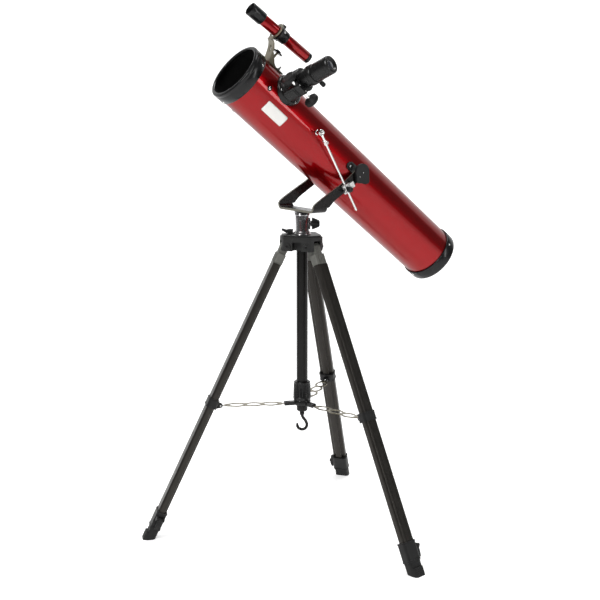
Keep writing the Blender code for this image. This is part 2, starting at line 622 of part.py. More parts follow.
def rod_anchor(parent, shade):
    """The bolt on the tube's side that carries the rod's eye; its axis is along Y."""
    seat = TUBE_RADIUS + GAP
    shape = join(cylinder(3.0, seat + 2, ROD_PLANE + 8, 16), cylinder(5.5, seat, ROD_PLANE - 3.2, 20))
    piece("rod_anchor", along("-Y", shape), shade, parent)


def altitude_rod(parent, shade):
    """The chrome rod with its flat eye, in the plane of its pivot; it runs along -Z of its frame."""
    length = (Vector(ROD_END) - Vector(ROD_EYE)).length
    rod = [(0, -length), (1.4, 0.5 - length), (ROD_RADIUS, 2 - length), (ROD_RADIUS, -5), (0, -5)]
    rod = turned(rod, 14)
    eye = along("Y", cylinder(6.5, -2.4, 2.4, 20))
    hole = along("Y", cylinder(3.3, -10, 10, 16))
    piece("altitude_rod", cut(join(rod, eye), hole), shade, parent)


def rod_clamp(parent, shades):
    """The block that slides on the rod, with a boss over the yoke arm and its thumb screw."""
    body = block((-5, -5, -9), (9, 4.4, 9))
    boss = block((6, -4.5, -6), (19, 2.5, 6))
    bore = cylinder(ROD_RADIUS + GAP, -30, 30, 16)
    piece("rod_clamp", cut(join(body, boss), bore), shades["steel"], parent)


def rod_clamp_screw(parent, shade):
    profile = [(0, 0), (4.5, 0), (6.2, 2), (6.2, 9), (5, 10.5), (0, 10.5)]
    piece("rod_clamp_screw", along("-Y", turned(profile, 20)), shade, parent)


def build():
    clear_scene()
    black = (0.016, 0.016, 0.018)
    shades = {
        "red": material("red_lacquer", (0.50, 0.004, 0.012), 0.22, 0.6),
        "plastic": material("black_plastic", black, 0.35, 0.0),
        "rubber": material("black_rubber", (0.02, 0.02, 0.02), 0.6, 0.0),
        "enamel": material("black_enamel", (0.012, 0.012, 0.013), 0.3, 0.0),
        "leg": material("bronze_anodised", (0.045, 0.040, 0.034), 0.4, 0.7),
        "cast": material("grey_casting", (0.16, 0.16, 0.15), 0.5, 0.6),
        "stamped": material("olive_steel", (0.20, 0.18, 0.13), 0.35, 0.9),
        "steel": material("machined_steel", (0.6, 0.6, 0.6), 0.3, 1.0),
        "chrome": material("chrome", (0.8, 0.8, 0.8), 0.1, 1.0),
        "gunmetal": material("gunmetal", (0.10, 0.10, 0.11), 0.2, 0.9),
        "mirror": material("mirror_glass", (0.85, 0.87, 0.88), 0.03, 1.0),
    }
    build_stand(shades)


def build_stand(shades):
    stand = frame("stand", None, (*COLUMN_XY, 0))
    hub_casting(stand, shades["plastic"])
    guide_tube(stand, shades["enamel"])
    hook = frame("hook_frame", stand, (0, 0, GUIDE_BOTTOM))
    weight_hook(hook, shades["enamel"])
    lock = rotation("Z", LOCK_AZIMUTH) @ rotation("Y", -LOCK_SLOPE)
    seat = rotation("Z", LOCK_AZIMUTH) @ Vector((LOCK_SEAT[0], 0, LOCK_SEAT[1]))
    wing_screw("column_lock_screw", stand, shades["plastic"], 13, 7, 3, 5.4, 4.0, seat, lock)

    spreader = frame("spreader_frame", stand, (0, 0, HUB_PIVOT[1]))
    brace_hub(spreader, shades["plastic"])
    spreader_sleeve(spreader, shades["plastic"])
    for side, azimuth in LEG_AZIMUTHS.items():
        facing = rotation("Z", radians(azimuth + 90))
        outward = rotation("Z", radians(azimuth))
        link = frame(f"strut_frame_{side}", spreader, outward @ Vector((HUB_PIVOT[0], 0, 0)), facing)
        strut(side, link, shades["stamped"])
        lean = rotation("X", -SPLAY)
        pivot = Vector((0, HUB_PIVOT[0] - LUG_PIVOT[0], LUG_PIVOT[1] - HUB_PIVOT[1]))
        leg = frame(f"leg_frame_{side}", link, pivot, lean)
        up = Vector((-sin(SPLAY), cos(SPLAY)))
        lug = Vector((LUG_PIVOT[0] - FOOT_CIRCLE, LUG_PIVOT[1]))
        offset = (0, -(-lug.x * cos(SPLAY) - lug.y * sin(SPLAY)), -lug.dot(up))
        leg_pieces(side, leg, offset, shades)
        leg_moving_pieces(side, leg, offset, shades)

    column = frame("column_frame", stand, (0, 0, HUB_TOP))
    centre_column(column, shades["gunmetal"])
    head = rotation("Z", HEAD_AZIMUTH)
    wing_screw("azimuth_lock_screw", column, shades["plastic"], 20, 6, 3, 12.5, 6,
               head @ Vector((POST_RADIUS + 3, 0, 668 - HUB_TOP)), head @ rotation("X", pi / 2))
    turntable = frame("yoke_frame", column)
    yoke(turntable, shades["enamel"])

    axis = (ALTITUDE_AXIS[0], 0, ALTITUDE_AXIS[1] - HUB_TOP)
    tube = frame("tube_frame", turntable, axis, rotation("Y", ALTITUDE - pi / 2))
    build_tube(tube, shades)
    build_adjuster(tube, shades)


def build_tube(tube, shades):
    optical_tube(tube, shades["red"])
    front_ring(tube, shades["plastic"])
    rear_cell(tube, shades["plastic"])
    primary_mirror(tube, shades["mirror"])
    spider(tube, shades["enamel"])
    secondary_mirror(tube, shades["mirror"])
    angle = radians(FOCUS_ANGLE)
    out, across = (cos(angle), -sin(angle), 0), (-sin(angle), -cos(angle), 0)
    focus = frame("focus_frame", tube, (0, 0, FOCUS_STATION), columns((0, 0, 1), across, out))
    focuser_housing(focus, shades["plastic"])
    draw = frame("drawtube_frame", focus)
    focuser_drawtube(draw, shades["plastic"])
    pinion(frame("pinion_frame", focus, (0, PINION_OFFSET, PINION_HEIGHT)), shades)
    eyepiece(frame("eyepiece_frame", draw), shades["plastic"])
    screw_seat = (0, 0, sum(HOLDER) / 2 + 0.5)
    eyepiece_screw(frame("eyepiece_screw_frame", draw, screw_seat), shades["plastic"])

    finder_bracket(tube, shades["stamped"])
    nut = radial(FINDER_ANGLE) @ Vector((NUT_SEAT, 0, NUT_STATION))
    nut_frame = frame("thumb_nut_frame", tube, nut, rotation("Z", -radians(FINDER_ANGLE)))
    finder_thumb_nut(nut_frame, shades["plastic"])
    centre = radial(FINDER_ANGLE) @ Vector((FINDER_CENTRE[0], 0, FINDER_CENTRE[1]))
    aim = rotation("Z", -radians(FINDER_ANGLE)) @ rotation("Y", FINDER_TILT)
    pivot = frame("finder_frame", tube, centre, aim)
    finder(pivot, frame("finder_eyepiece_frame", pivot), shades)


def build_adjuster(tube, shades):
    altitude_flange("altitude_flange_near", -1, tube, shades["plastic"])
    altitude_flange("altitude_flange_far", 1, tube, shades["plastic"])
    level = frame("level_frame", tube, turn=rotation("Y", pi / 2 - ALTITUDE))
    altitude_knob("altitude_knob_near", -1, level, shades["plastic"])
    altitude_knob("altitude_knob_far", 1, level, shades["plastic"])
    eye = (ROD_EYE[0], 0, ROD_EYE[1])
    rod_anchor(frame("anchor_frame", level, eye), shades["chrome"])
    run = Vector(ROD_END) - Vector(ROD_EYE)
    swing = frame("rod_frame", level, (eye[0], -ROD_PLANE, eye[2]), rotation("Y", -atan2(run.x, -run.y)))
    altitude_rod(swing, shades["chrome"])
    clamp = frame("clamp_frame", swing, (0, 0, -CLAMP_ON_ROD))
    rod_clamp(clamp, shades)
    rod_clamp_screw(frame("clamp_screw_frame", clamp, (0, -5 - GAP, -2)), shades["plastic"])


build()
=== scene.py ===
"""Looks of the telescope on its tripod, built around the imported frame.

Every piece is modelled in millimetres in the local frame of its joint, and then written into the row frame.
"""
import json
from math import atan2, cos, degrees, pi, radians, sin, sqrt

import bmesh
import bpy
from mathutils import Matrix, Vector

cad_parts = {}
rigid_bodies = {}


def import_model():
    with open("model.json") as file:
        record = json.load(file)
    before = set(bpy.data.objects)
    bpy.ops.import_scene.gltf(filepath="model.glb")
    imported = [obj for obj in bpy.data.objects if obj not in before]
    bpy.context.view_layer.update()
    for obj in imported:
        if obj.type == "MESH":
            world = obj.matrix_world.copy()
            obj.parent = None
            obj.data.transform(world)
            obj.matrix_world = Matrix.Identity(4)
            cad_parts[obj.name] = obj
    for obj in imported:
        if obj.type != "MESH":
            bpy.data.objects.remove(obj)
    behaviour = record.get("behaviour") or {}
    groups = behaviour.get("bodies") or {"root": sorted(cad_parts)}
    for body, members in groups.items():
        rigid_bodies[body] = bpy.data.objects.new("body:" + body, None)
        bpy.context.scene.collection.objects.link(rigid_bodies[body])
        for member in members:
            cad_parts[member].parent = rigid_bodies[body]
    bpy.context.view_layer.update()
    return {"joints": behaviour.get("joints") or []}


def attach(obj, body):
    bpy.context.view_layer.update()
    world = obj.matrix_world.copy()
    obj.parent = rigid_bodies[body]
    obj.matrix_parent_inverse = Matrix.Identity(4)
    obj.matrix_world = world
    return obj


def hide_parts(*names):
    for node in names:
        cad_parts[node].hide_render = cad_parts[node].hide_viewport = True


# a script that starts with Blender's default scene must not keep its cube
for leftover in list(bpy.data.objects):
    bpy.data.objects.remove(leftover)
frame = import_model()

MM = 0.001
SIDES = ("left", "right", "back")
FINE, ROUND, SMALL = 128, 64, 28          # sides of large, middling and small round pieces


# --- meshes ---

def solid(points, faces):
    mesh = bpy.data.meshes.new("shape")
    mesh.from_pydata([tuple(p) for p in points], [], faces)
    bm = bmesh.new()
    bm.from_mesh(mesh)
    bmesh.ops.recalc_face_normals(bm, faces=bm.faces)
    bm.to_mesh(mesh)
    bm.free()
    return mesh


def turned(profile, sides=ROUND):
    """A closed outline of (radius, height) points turned about Z; neighbours on the axis close the end."""
    points, rows, faces = [], [], []
    for radius, height in profile:
        count = sides if radius > 1e-6 else 1
        rows.append([len(points) + k for k in range(count)])
        for k in range(count):
            a = 2 * pi * k / sides
            points.append((radius * cos(a), radius * sin(a), height))
    for lower, upper in zip(rows, rows[1:] + rows[:1]):
        if len(lower) == 1 and len(upper) == 1:
            continue
        for k in range(sides):
            n = (k + 1) % sides
            ring = [row[i % len(row)] for row, i in ((lower, k), (lower, n), (upper, n), (upper, k))]
            faces.append(list(dict.fromkeys(ring)))
    return solid(points, faces)


def cylinder(radius, low, high, sides=ROUND):
    """A solid cylinder along Z."""
    return turned([(0, low), (radius, low), (radius, high), (0, high)], sides)


def prism(outline, low, high):
    """A plane outline raised along Z."""
    count = len(outline)
    points = [(x, y, low) for x, y in outline] + [(x, y, high) for x, y in outline]
    walls = [[k, (k + 1) % count, (k + 1) % count + count, k + count] for k in range(count)]
    return solid(points, [list(range(count)), list(range(count, 2 * count))] + walls)


def block(low, high):
    (x0, y0, z0), (x1, y1, z1) = low, high
    return prism([(x0, y0), (x1, y0), (x1, y1), (x0, y1)], z0, z1)


def arc(centre, radius, start, end, count):
    """Points of an arc in the plane, angles in degrees."""
    steps = [radians(start + (end - start) * k / count) for k in range(count + 1)]
    return [(centre[0] + radius * cos(a), centre[1] + radius * sin(a)) for a in steps]


def rounded(half_x, half_y, radius, count=8):
    """A rectangle with round corners."""
    outline = []
    for turn, (sx, sy) in enumerate(((1, 1), (-1, 1), (-1, -1), (1, -1))):
        centre = (sx * (half_x - radius), sy * (half_y - radius))
        outline += arc(centre, radius, 90 * turn, 90 * turn + 90, count)
    return outline


def smoothed(points, steps=6):
    """A smooth curve through the points (Catmull-Rom)."""
    points = [Vector(p) for p in points]
    ends = [2 * points[0] - points[1]] + points + [2 * points[-1] - points[-2]]
    curve = []
    for k in range(1, len(ends) - 2):
        a, b, c, d = ends[k - 1:k + 3]
        for s in range(steps):
            t = s / steps
            curve.append(0.5 * (2 * b + (c - a) * t + (2 * a - 5 * b + 4 * c - d) * t * t
                                + (3 * b - a - 3 * c + d) * t ** 3))
    return curve + [points[-1]]


def bar(path, radius, sides=20, taper=None):
    """A round bar along a list of points; taper gives the radius' factor along it, from 0 to 1."""
    path = [Vector(p) for p in path]
    side = (path[1] - path[0]).orthogonal().normalized()
    points = []
    for k, p in enumerate(path):
        ahead = (path[min(k + 1, len(path) - 1)] - path[max(k - 1, 0)]).normalized()
        side = (side - ahead * side.dot(ahead)).normalized()
        other = ahead.cross(side)
        size = radius * (taper(k / (len(path) - 1)) if taper else 1.0)
        turn = [2 * pi * s / sides for s in range(sides)]
        points += [p + size * (cos(a) * side + sin(a) * other) for a in turn]
    last = (len(path) - 1) * sides
    faces = [list(range(sides)), list(range(last, last + sides))]
    for k in range(len(path) - 1):
        for s in range(sides):
            a, b = k * sides + s, k * sides + (s + 1) % sides
            faces.append([a, b, b + sides, a + sides])
    return solid(points, faces)


def moved(mesh, location=(0, 0, 0), turn=None):
    """The same mesh, turned and then shifted."""
    mesh.transform(Matrix.Translation(location) @ (turn or Matrix()))
    return mesh


def rotation(axis, angle):
    return Matrix.Rotation(angle, 4, axis)


def columns(x, y, z):
    """The rotation whose axes are the three given directions."""
    return Matrix((Vector(x), Vector(y), Vector(z))).transposed().to_4x4()


def facing(direction):
    """Turns +Z to a direction."""
    return Vector((0, 0, 1)).rotation_difference(Vector(direction).normalized()).to_matrix().to_4x4()


def merged(*meshes):
    """Several shapes in one mesh, left as they are."""
    bm = bmesh.new()
    for mesh in meshes:
        bm.from_mesh(mesh)
    mesh = bpy.data.meshes.new("shape")
    bm.to_mesh(mesh)
    bm.free()
    return mesh


def combine(operation, base, tools):
    subject = bpy.data.objects.new("subject", base)
    bpy.context.collection.objects.link(subject)
    helpers = []
    for mesh in tools:
        tool = bpy.data.objects.new("tool", mesh)
        bpy.context.collection.objects.link(tool)
        helpers.append(tool)
        modifier = subject.modifiers.new("combine", "BOOLEAN")
        modifier.operation = operation
        modifier.solver = "EXACT"
        modifier.object = tool
    bpy.context.view_layer.update()
    result = bpy.data.meshes.new_from_object(subject.evaluated_get(bpy.context.evaluated_depsgraph_get()))
    for obj in [subject] + helpers:
        bpy.data.objects.remove(obj, do_unlink=True)
    return result


def join(base, *tools):
    return combine("UNION", base, tools)


def cut(base, *tools):
    return combine("DIFFERENCE", base, tools)


# --- frames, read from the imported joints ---

JOINTS = {joint["name"]: joint for joint in frame["joints"]}


def joint_axis(name):
    return Vector(JOINTS[name]["axis"]).normalized()


def joint_place(name):
    return Vector(JOINTS[name]["pos_m"])


def basis(origin, x, z):
    """Millimetres in a local frame to metres in the row frame."""
    x, z = Vector(x).normalized(), Vector(z).normalized()
    y = z.cross(x)
    matrix = columns(x, y, z) @ Matrix.Scale(MM, 4)
    matrix.translation = origin
    return matrix


def shifted(base, location=(0, 0, 0), turn=None):
    return base @ Matrix.Translation(location) @ (turn or Matrix())


UP = Vector((0, 0, 1))
AXIS = joint_place("azimuth_turn")
AXIS.z = 0.0
STAND = basis(AXIS, (1, 0, 0), UP)
HEAD = basis(AXIS, joint_axis("azimuth_lock_turn"), UP)
PIVOT = joint_place("altitude_tilt")
LEVEL = basis(PIVOT, (1, 0, 0), UP)
FRONT = joint_axis("pinion_turn")
TUBE = basis(PIVOT, joint_axis("altitude_tilt").cross(FRONT), FRONT)
PINION_OFFSET, PINION_HEIGHT = 22.0, 96.0
FOCUS_OUT = joint_axis("focus_slide")
FOCUS_SIDE = FOCUS_OUT.cross(FRONT)
FOCUS = basis(joint_place("pinion_turn") - (PINION_OFFSET * FOCUS_SIDE + PINION_HEIGHT * FOCUS_OUT) * MM,
              FRONT, FOCUS_OUT)
FINDER_AXIS = -joint_axis("finder_focus")
FINDER = basis(joint_place("finder_aim"), joint_axis("finder_aim").cross(FINDER_AXIS), FINDER_AXIS)
BRACKET_OUT = joint_axis("finder_thumb_nut_turn")
BRACKET_ANGLE = degrees(atan2(-BRACKET_OUT.dot(Vector((0, 1, 0))), BRACKET_OUT.dot(TUBE.col[0].xyz / MM)))
ROD_UP = -joint_axis("rod_clamp_slide")
ROD = basis(joint_place("rod_swing"), Vector((0, 1, 0)).cross(ROD_UP), ROD_UP)


def leg_frame(side):
    """The leg's axis frame: origin where the axis meets the floor, Z up the leg, Y inwards."""
    up, across = -joint_axis(f"leg_extension_{side}"), joint_axis(f"leg_hinge_{side}")
    inward = up.cross(across)
    place = joint_place(f"leg_hinge_{side}")
    shift = LEG_AXIS_OFFSET * inward + LEG_AXIS_DROP * up
    return basis(place + shift * MM, across, up)


# Where the strut's outer pivot lies from the leg's axis, in the leg's frame
PIVOT_TO_FLOOR = joint_place("leg_hinge_left")
LEG_LEVER = joint_place("lock_lever_hinge_left") - PIVOT_TO_FLOOR
LEVER_X, LEVER_S = 22.5, 52.0
LEG_AXIS_OFFSET = LEG_LEVER.dot((-joint_axis("leg_extension_left")).cross(joint_axis("leg_hinge_left"))) / MM
LEG_AXIS_DROP = LEG_LEVER.dot(-joint_axis("leg_extension_left")) / MM - LEVER_S


# --- materials ---

def shader(name, colour, roughness, metallic=0.0, coat=0.0, coat_roughness=0.05, tint=0.12, tint_scale=60.0,
           wear=0.06, bump=0.04, bump_scale=900.0, stretch=(1, 1, 1), turn=None, specular=0.5, edge=None):
    """A painted, moulded or metal surface: its colour and roughness drift slowly, under a fine grain."""
    material = bpy.data.materials.new(name)
    material.use_nodes = True
    tree = material.node_tree
    node, link = tree.nodes.new, tree.links.new
    surface = tree.nodes["Principled BSDF"]
    surface.inputs["Metallic"].default_value = metallic
    surface.inputs["Coat Weight"].default_value = coat
    surface.inputs["Coat Roughness"].default_value = coat_roughness
    surface.inputs["Specular IOR Level"].default_value = specular
    if edge:
        surface.inputs["Specular Tint"].default_value = (*edge, 1)
    place = node("ShaderNodeTexCoord")
    mapping = node("ShaderNodeMapping")
    mapping.inputs["Scale"].default_value = stretch
    if turn:
        mapping.vector_type = "POINT"
        mapping.inputs["Rotation"].default_value = turn.to_euler()
    link(place.outputs["Object"], mapping.inputs["Vector"])

    clouds = node("ShaderNodeTexNoise")
    clouds.inputs["Scale"].default_value = tint_scale
    clouds.inputs["Detail"].default_value = 5.0
    clouds.inputs["Roughness"].default_value = 0.6
    link(mapping.outputs["Vector"], clouds.inputs["Vector"])
    ramp = node("ShaderNodeValToRGB")
    ramp.color_ramp.elements[0].position = 0.3
    ramp.color_ramp.elements[1].position = 0.7
    ramp.color_ramp.elements[0].color = (*[c * (1 - tint) for c in colour], 1)
    ramp.color_ramp.elements[1].color = (*[min(1, c * (1 + tint)) for c in colour], 1)
    link(clouds.outputs["Fac"], ramp.inputs["Fac"])
    link(ramp.outputs["Color"], surface.inputs["Base Color"])

    patches = node("ShaderNodeTexNoise")
    patches.inputs["Scale"].default_value = tint_scale * 2.3
    patches.inputs["Detail"].default_value = 6.0
    link(mapping.outputs["Vector"], patches.inputs["Vector"])
    spread = node("ShaderNodeMapRange")
    spread.inputs["From Min"].default_value = 0.3
    spread.inputs["From Max"].default_value = 0.7
    spread.inputs["To Min"].default_value = max(0.02, roughness - wear)
    spread.inputs["To Max"].default_value = roughness + wear
    link(patches.outputs["Fac"], spread.inputs["Value"])
    link(spread.outputs["Result"], surface.inputs["Roughness"])

    grain = node("ShaderNodeTexNoise")
    grain.inputs["Scale"].default_value = bump_scale
    grain.inputs["Detail"].default_value = 3.0
    link(mapping.outputs["Vector"], grain.inputs["Vector"])
    relief = node("ShaderNodeBump")
    relief.inputs["Strength"].default_value = bump
    relief.inputs["Distance"].default_value = 0.0002
    link(grain.outputs["Fac"], relief.inputs["Height"])
    link(relief.outputs["Normal"], surface.inputs["Normal"])
    return material


def lens_glass(name, colour):
    """Coated optical glass: dark, very smooth, with a faint coloured bloom that drifts over it."""
    return shader(name, colour, 0.05, coat=1.0, coat_roughness=0.02, tint=0.5, tint_scale=25.0, wear=0.02,
                  bump=0.0)


def make_materials():
    turn = TUBE.to_3x3().normalized().inverted()
    red = dict(metallic=0.85, coat=0.55, coat_roughness=0.04, tint=0.03, tint_scale=30.0, wear=0.015,
               bump=0.004,
               bump_scale=1600.0, edge=(0.30, 0.004, 0.008))
    return {
        "red": shader("candy_red_lacquer", (0.27, 0.0006, 0.0028), 0.30, turn=turn, **red),
        "inside": shader("flocked_black", (0.006, 0.006, 0.006), 0.85, bump=0.2, bump_scale=1200.0,
                         specular=0.15),
        "ring": shader("gloss_black_plastic", (0.007, 0.007, 0.0075), 0.22, tint_scale=40.0, wear=0.05,
                       bump=0.03,
                       specular=0.28),
        "gloss": shader("focuser_black", (0.007, 0.007, 0.007), 0.28, wear=0.08, bump=0.02, bump_scale=900.0,
                        specular=0.28),
        "satin": shader("satin_charcoal", (0.011, 0.011, 0.011), 0.46, wear=0.05, bump=0.05,
                        bump_scale=900.0,
                        specular=0.25),
        "hub": shader("hub_charcoal", (0.016, 0.016, 0.0155), 0.44, wear=0.05, bump=0.05, bump_scale=900.0,
                      specular=0.28),
        "knob": shader("knob_black", (0.008, 0.008, 0.0085), 0.40, wear=0.05, bump=0.06, bump_scale=900.0,
                       specular=0.28),
        "enamel": shader("black_enamel", (0.007, 0.0058, 0.0055), 0.28, metallic=0.2, wear=0.05, bump=0.03,
                         bump_scale=500.0, specular=0.28),
        # painted highlight: a paler colour for the fork's edges, standing in for the light that catches them
        "edge": shader("painted_highlight_edge", (0.20, 0.19, 0.155), 0.38, metallic=0.75, tint=0.15, wear=0.08,
                       bump=0.03),
        "column": shader("column_enamel", (0.007, 0.0065, 0.006), 0.26, metallic=0.35, tint=0.2, wear=0.06,
                         stretch=(1, 1, 0.1), specular=0.28),
        "casting": shader("grey_moulding", (0.125, 0.125, 0.112), 0.46, metallic=0.25, tint=0.12,
                          wear=0.06, bump=0.06),
        "olive": shader("olive_stamping", (0.20, 0.18, 0.13), 0.34, metallic=0.85, tint=0.12, wear=0.07,
                        bump=0.04, bump_scale=600.0),
        "steel": shader("machined_steel", (0.62, 0.62, 0.61), 0.27, metallic=1.0, tint=0.10, wear=0.10,
                        bump=0.12),
        "chrome": shader("chrome_plate", (0.74, 0.74, 0.73), 0.07, metallic=1.0, tint=0.04, wear=0.04,
                         bump=0.02),
        "gunmetal": shader("gunmetal_plate", (0.42, 0.415, 0.42), 0.22, metallic=0.95, tint=0.15, wear=0.05,
                           stretch=(1, 1, 0.15)),
        "rubber": shader("foot_rubber", (0.012, 0.012, 0.012), 0.60, wear=0.06, bump=0.12, bump_scale=900.0,
                         specular=0.25),
        "mirror": shader("mirror_coating", (0.90, 0.91, 0.92), 0.03, metallic=1.0, tint=0.02, wear=0.01,
                         bump=0.0),
        "lens": lens_glass("coated_lens", (0.010, 0.012, 0.020)),
        "label": shader("blank_label", (0.80, 0.79, 0.76), 0.45, coat=0.3, tint=0.03, wear=0.05, bump=0.08),
        "label_edge": shader("label_border", (0.45, 0.44, 0.42), 0.45, coat=0.3, tint=0.05, bump=0.05),
    }


PAINT = make_materials()


def leg_paint(side):
    """Anodised extrusion, with its drawing lines along the leg."""
    turn = leg_frame(side).to_3x3().normalized().inverted()
    return shader(f"dark_anodised_{side}", (0.030, 0.027, 0.0235), 0.36, metallic=0.72, tint=0.14,
                  tint_scale=70.0, wear=0.06, bump=0.08, bump_scale=700.0, stretch=(1, 1, 0.03), turn=turn)


# --- placing ---

def piece(name, mesh, paints, body, at, replaces=(), bevel=0.0, segments=2, angle=32, by_face=None):
    """Writes a mesh into the row frame as one piece of the visual model."""
    paints = paints if isinstance(paints, (list, tuple)) else [paints]
    mesh.materials.clear()
    for paint in paints:
        mesh.materials.append(PAINT[paint] if isinstance(paint, str) else paint)
    for face in mesh.polygons:
        face.material_index = by_face(face) if by_face else 0
    mesh.transform(at)
    mesh.name = name
    mesh.shade_smooth()
    obj = bpy.data.objects.new(name, mesh)
    bpy.context.collection.objects.link(obj)
    if bevel:
        modifier = obj.modifiers.new("edges", "BEVEL")
        modifier.width = bevel * MM
        modifier.segments = segments
        modifier.limit_method = "ANGLE"
        modifier.angle_limit = radians(angle)
        modifier.harden_normals = True
    else:
        mesh.set_sharp_from_angle(angle=radians(angle))
    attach(obj, body)
    for node in replaces:
        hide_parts(node)
    return obj


def screw_shapes(radius, height):
    """A domed pan head with a cross recess, its seat at Z = 0."""
    dome = [(0, -0.4), (radius, -0.4)]
    dome += [(radius * cos(a), 0.25 * height + 0.75 * height * sin(a))
             for a in [radians(15 * k) for k in range(6)]]
    head = turned(dome + [(0, height)], SMALL)
    arm = radius * 0.62
    slot_half = radius * 0.13
    cross = [block((-arm, -slot_half, 0.45 * height), (arm, slot_half, height + 1)),
             block((-slot_half, -arm, 0.45 * height), (slot_half, arm, height + 1))]
    return cut(head, *cross)


def screws(name, places, radius, height, paint, body, washer=0.0):
    """Screw heads at (frame matrix) places, with optional dark washers under them."""
    heads, rings = [], []
    for place in places:
        heads.append(moved(screw_shapes(radius, height), turn=place))
        if washer:
            ring = turned([(radius * 0.5, 0), (washer, 0), (washer, 0.5), (radius * 0.5, 0.9)], SMALL)
            rings.append(moved(ring, turn=place))
    piece(name, merged(*heads), paint, body, Matrix())
    if rings:
        piece(name + "_washers", merged(*rings), "ring", body, Matrix())


def on_tube(angle, station, radius, base=None):
    """A place on the tube: +Z out of the surface, +X to the front."""
    a = radians(angle)
    out, across = (cos(a), -sin(a), 0), (-sin(a), -cos(a), 0)
    return shifted(base or TUBE, (radius * out[0], radius * out[1], station),
                   columns((0, 0, 1), across, out))


def ribs(count, radius, low, high, depth, width):
    """Blunt ribs round a grip."""
    shapes = []
    for k in range(count):
        rib = prism([(radius - 1, -width / 2), (radius + depth, -width * 0.3), (radius + depth, width * 0.3),
                     (radius - 1, width / 2)], low, high)
        shapes.append(moved(rib, turn=rotation("Z", 2 * pi * k / count)))
    return merged(*shapes)


# --- the optical tube ---

TUBE_RADIUS, TUBE_WALL, TUBE_REAR, TUBE_FRONT = 58.7, 0.9, -322.0, 325.0
RING_RADIUS = 61.6
GAP = 0.3
FOCUS_STATION = (FOCUS.translation - PIVOT).dot(FRONT) / MM
FOCUS_ANGLE = degrees(atan2(-FOCUS_OUT.y, FOCUS_OUT.dot(TUBE.col[0].xyz / MM)))
SPIDER_STATION, SPIDER_ANGLE = 273.0, 87.9
RING_SCREW_ANGLES = (62.6, 182.6, -57.4)


def make_tube():
    inner = TUBE_RADIUS - TUBE_WALL
    steps = 24
    outer_rows = [(TUBE_RADIUS, TUBE_REAR + (TUBE_FRONT - TUBE_REAR) * k / steps) for k in range(steps + 1)]
    inner_rows = [(inner, z) for _, z in reversed(outer_rows)]
    shell = turned(outer_rows + inner_rows, FINE)
    hole = moved(cylinder(19.0, 30, 80, 48), (0, 0, FOCUS_STATION), columns(
        (0, 0, 1), (-sin(radians(FOCUS_ANGLE)), -cos(radians(FOCUS_ANGLE)), 0),
        (cos(radians(FOCUS_ANGLE)), -sin(radians(FOCUS_ANGLE)), 0)))
    shell = cut(shell, hole)

    def side(face):
        flat = Vector((face.center.x, face.center.y, 0))
        return 0 if flat.length > TUBE_RADIUS - TUBE_WALL / 2 else 1

    piece("tube_shell", shell, ["red", "inside"], "tube", TUBE, ["optical_tube"], angle=50,
          by_face=side)

    low = 304.3
    profile = [(TUBE_RADIUS + GAP, low + 0.6), (TUBE_RADIUS + 0.9, low), (RING_RADIUS - 0.8, low),
               (RING_RADIUS, low + 0.8), (RING_RADIUS, 322.5), (RING_RADIUS - 0.25, 323),
               (RING_RADIUS, 323.5),
               (RING_RADIUS, 327.6)]
    profile += [(RING_RADIUS - 2.4 + 2.4 * cos(a), 327.6 + 2.4 * sin(a))
                for a in [radians(15 * k) for k in range(1, 7)]]
    profile += [(57.5, 330.6), (56.2, 330.9), (55.2, 330.9), (54.2, 330.3), (53.6, 329.2),
                (53.5, TUBE_FRONT + 1),
                (53.9, TUBE_FRONT + GAP), (TUBE_RADIUS + GAP, TUBE_FRONT + GAP)]
    piece("front_ring_trim", turned(profile, FINE), "ring", "tube", TUBE, ["front_ring"],
          angle=60)
    floor, back = TUBE_REAR - GAP, -328.3
    profile = [(0, back + 1.2), (34, back + 1.2), (35.5, back), (56.6, back)]
    profile += [(57.6 + 4 * sin(a), back + 4 - 4 * cos(a)) for a in [radians(15 * k) for k in range(1, 7)]]
    profile += [(RING_RADIUS, -301.5), (RING_RADIUS - 0.8, -300.7), (TUBE_RADIUS + 0.9, -300.7),
                (TUBE_RADIUS + GAP, -301.3), (TUBE_RADIUS + GAP, floor), (42, floor), (42, floor + 13),
                (38.6, floor + 13), (38.6, floor), (0, floor)]
    piece("rear_cell_cover", turned(profile, FINE), "ring", "tube", TUBE, ["rear_cell"],
          angle=60)

    places = [on_tube(a, 309.6, RING_RADIUS) for a in RING_SCREW_ANGLES]
    places += [on_tube(a, -309.0, RING_RADIUS) for a in RING_SCREW_ANGLES]
    screws("ring_screws", places, 2.4, 1.0, "steel", "tube")
    back_places = [shifted(TUBE, (44 * cos(a), 44 * sin(a), back), facing((0, 0, -1)))
                   for a in [radians(30 + 60 * k) for k in range(6)]]
    screws("mirror_cell_screws", back_places, 3.0, 0.9, "steel", "tube")


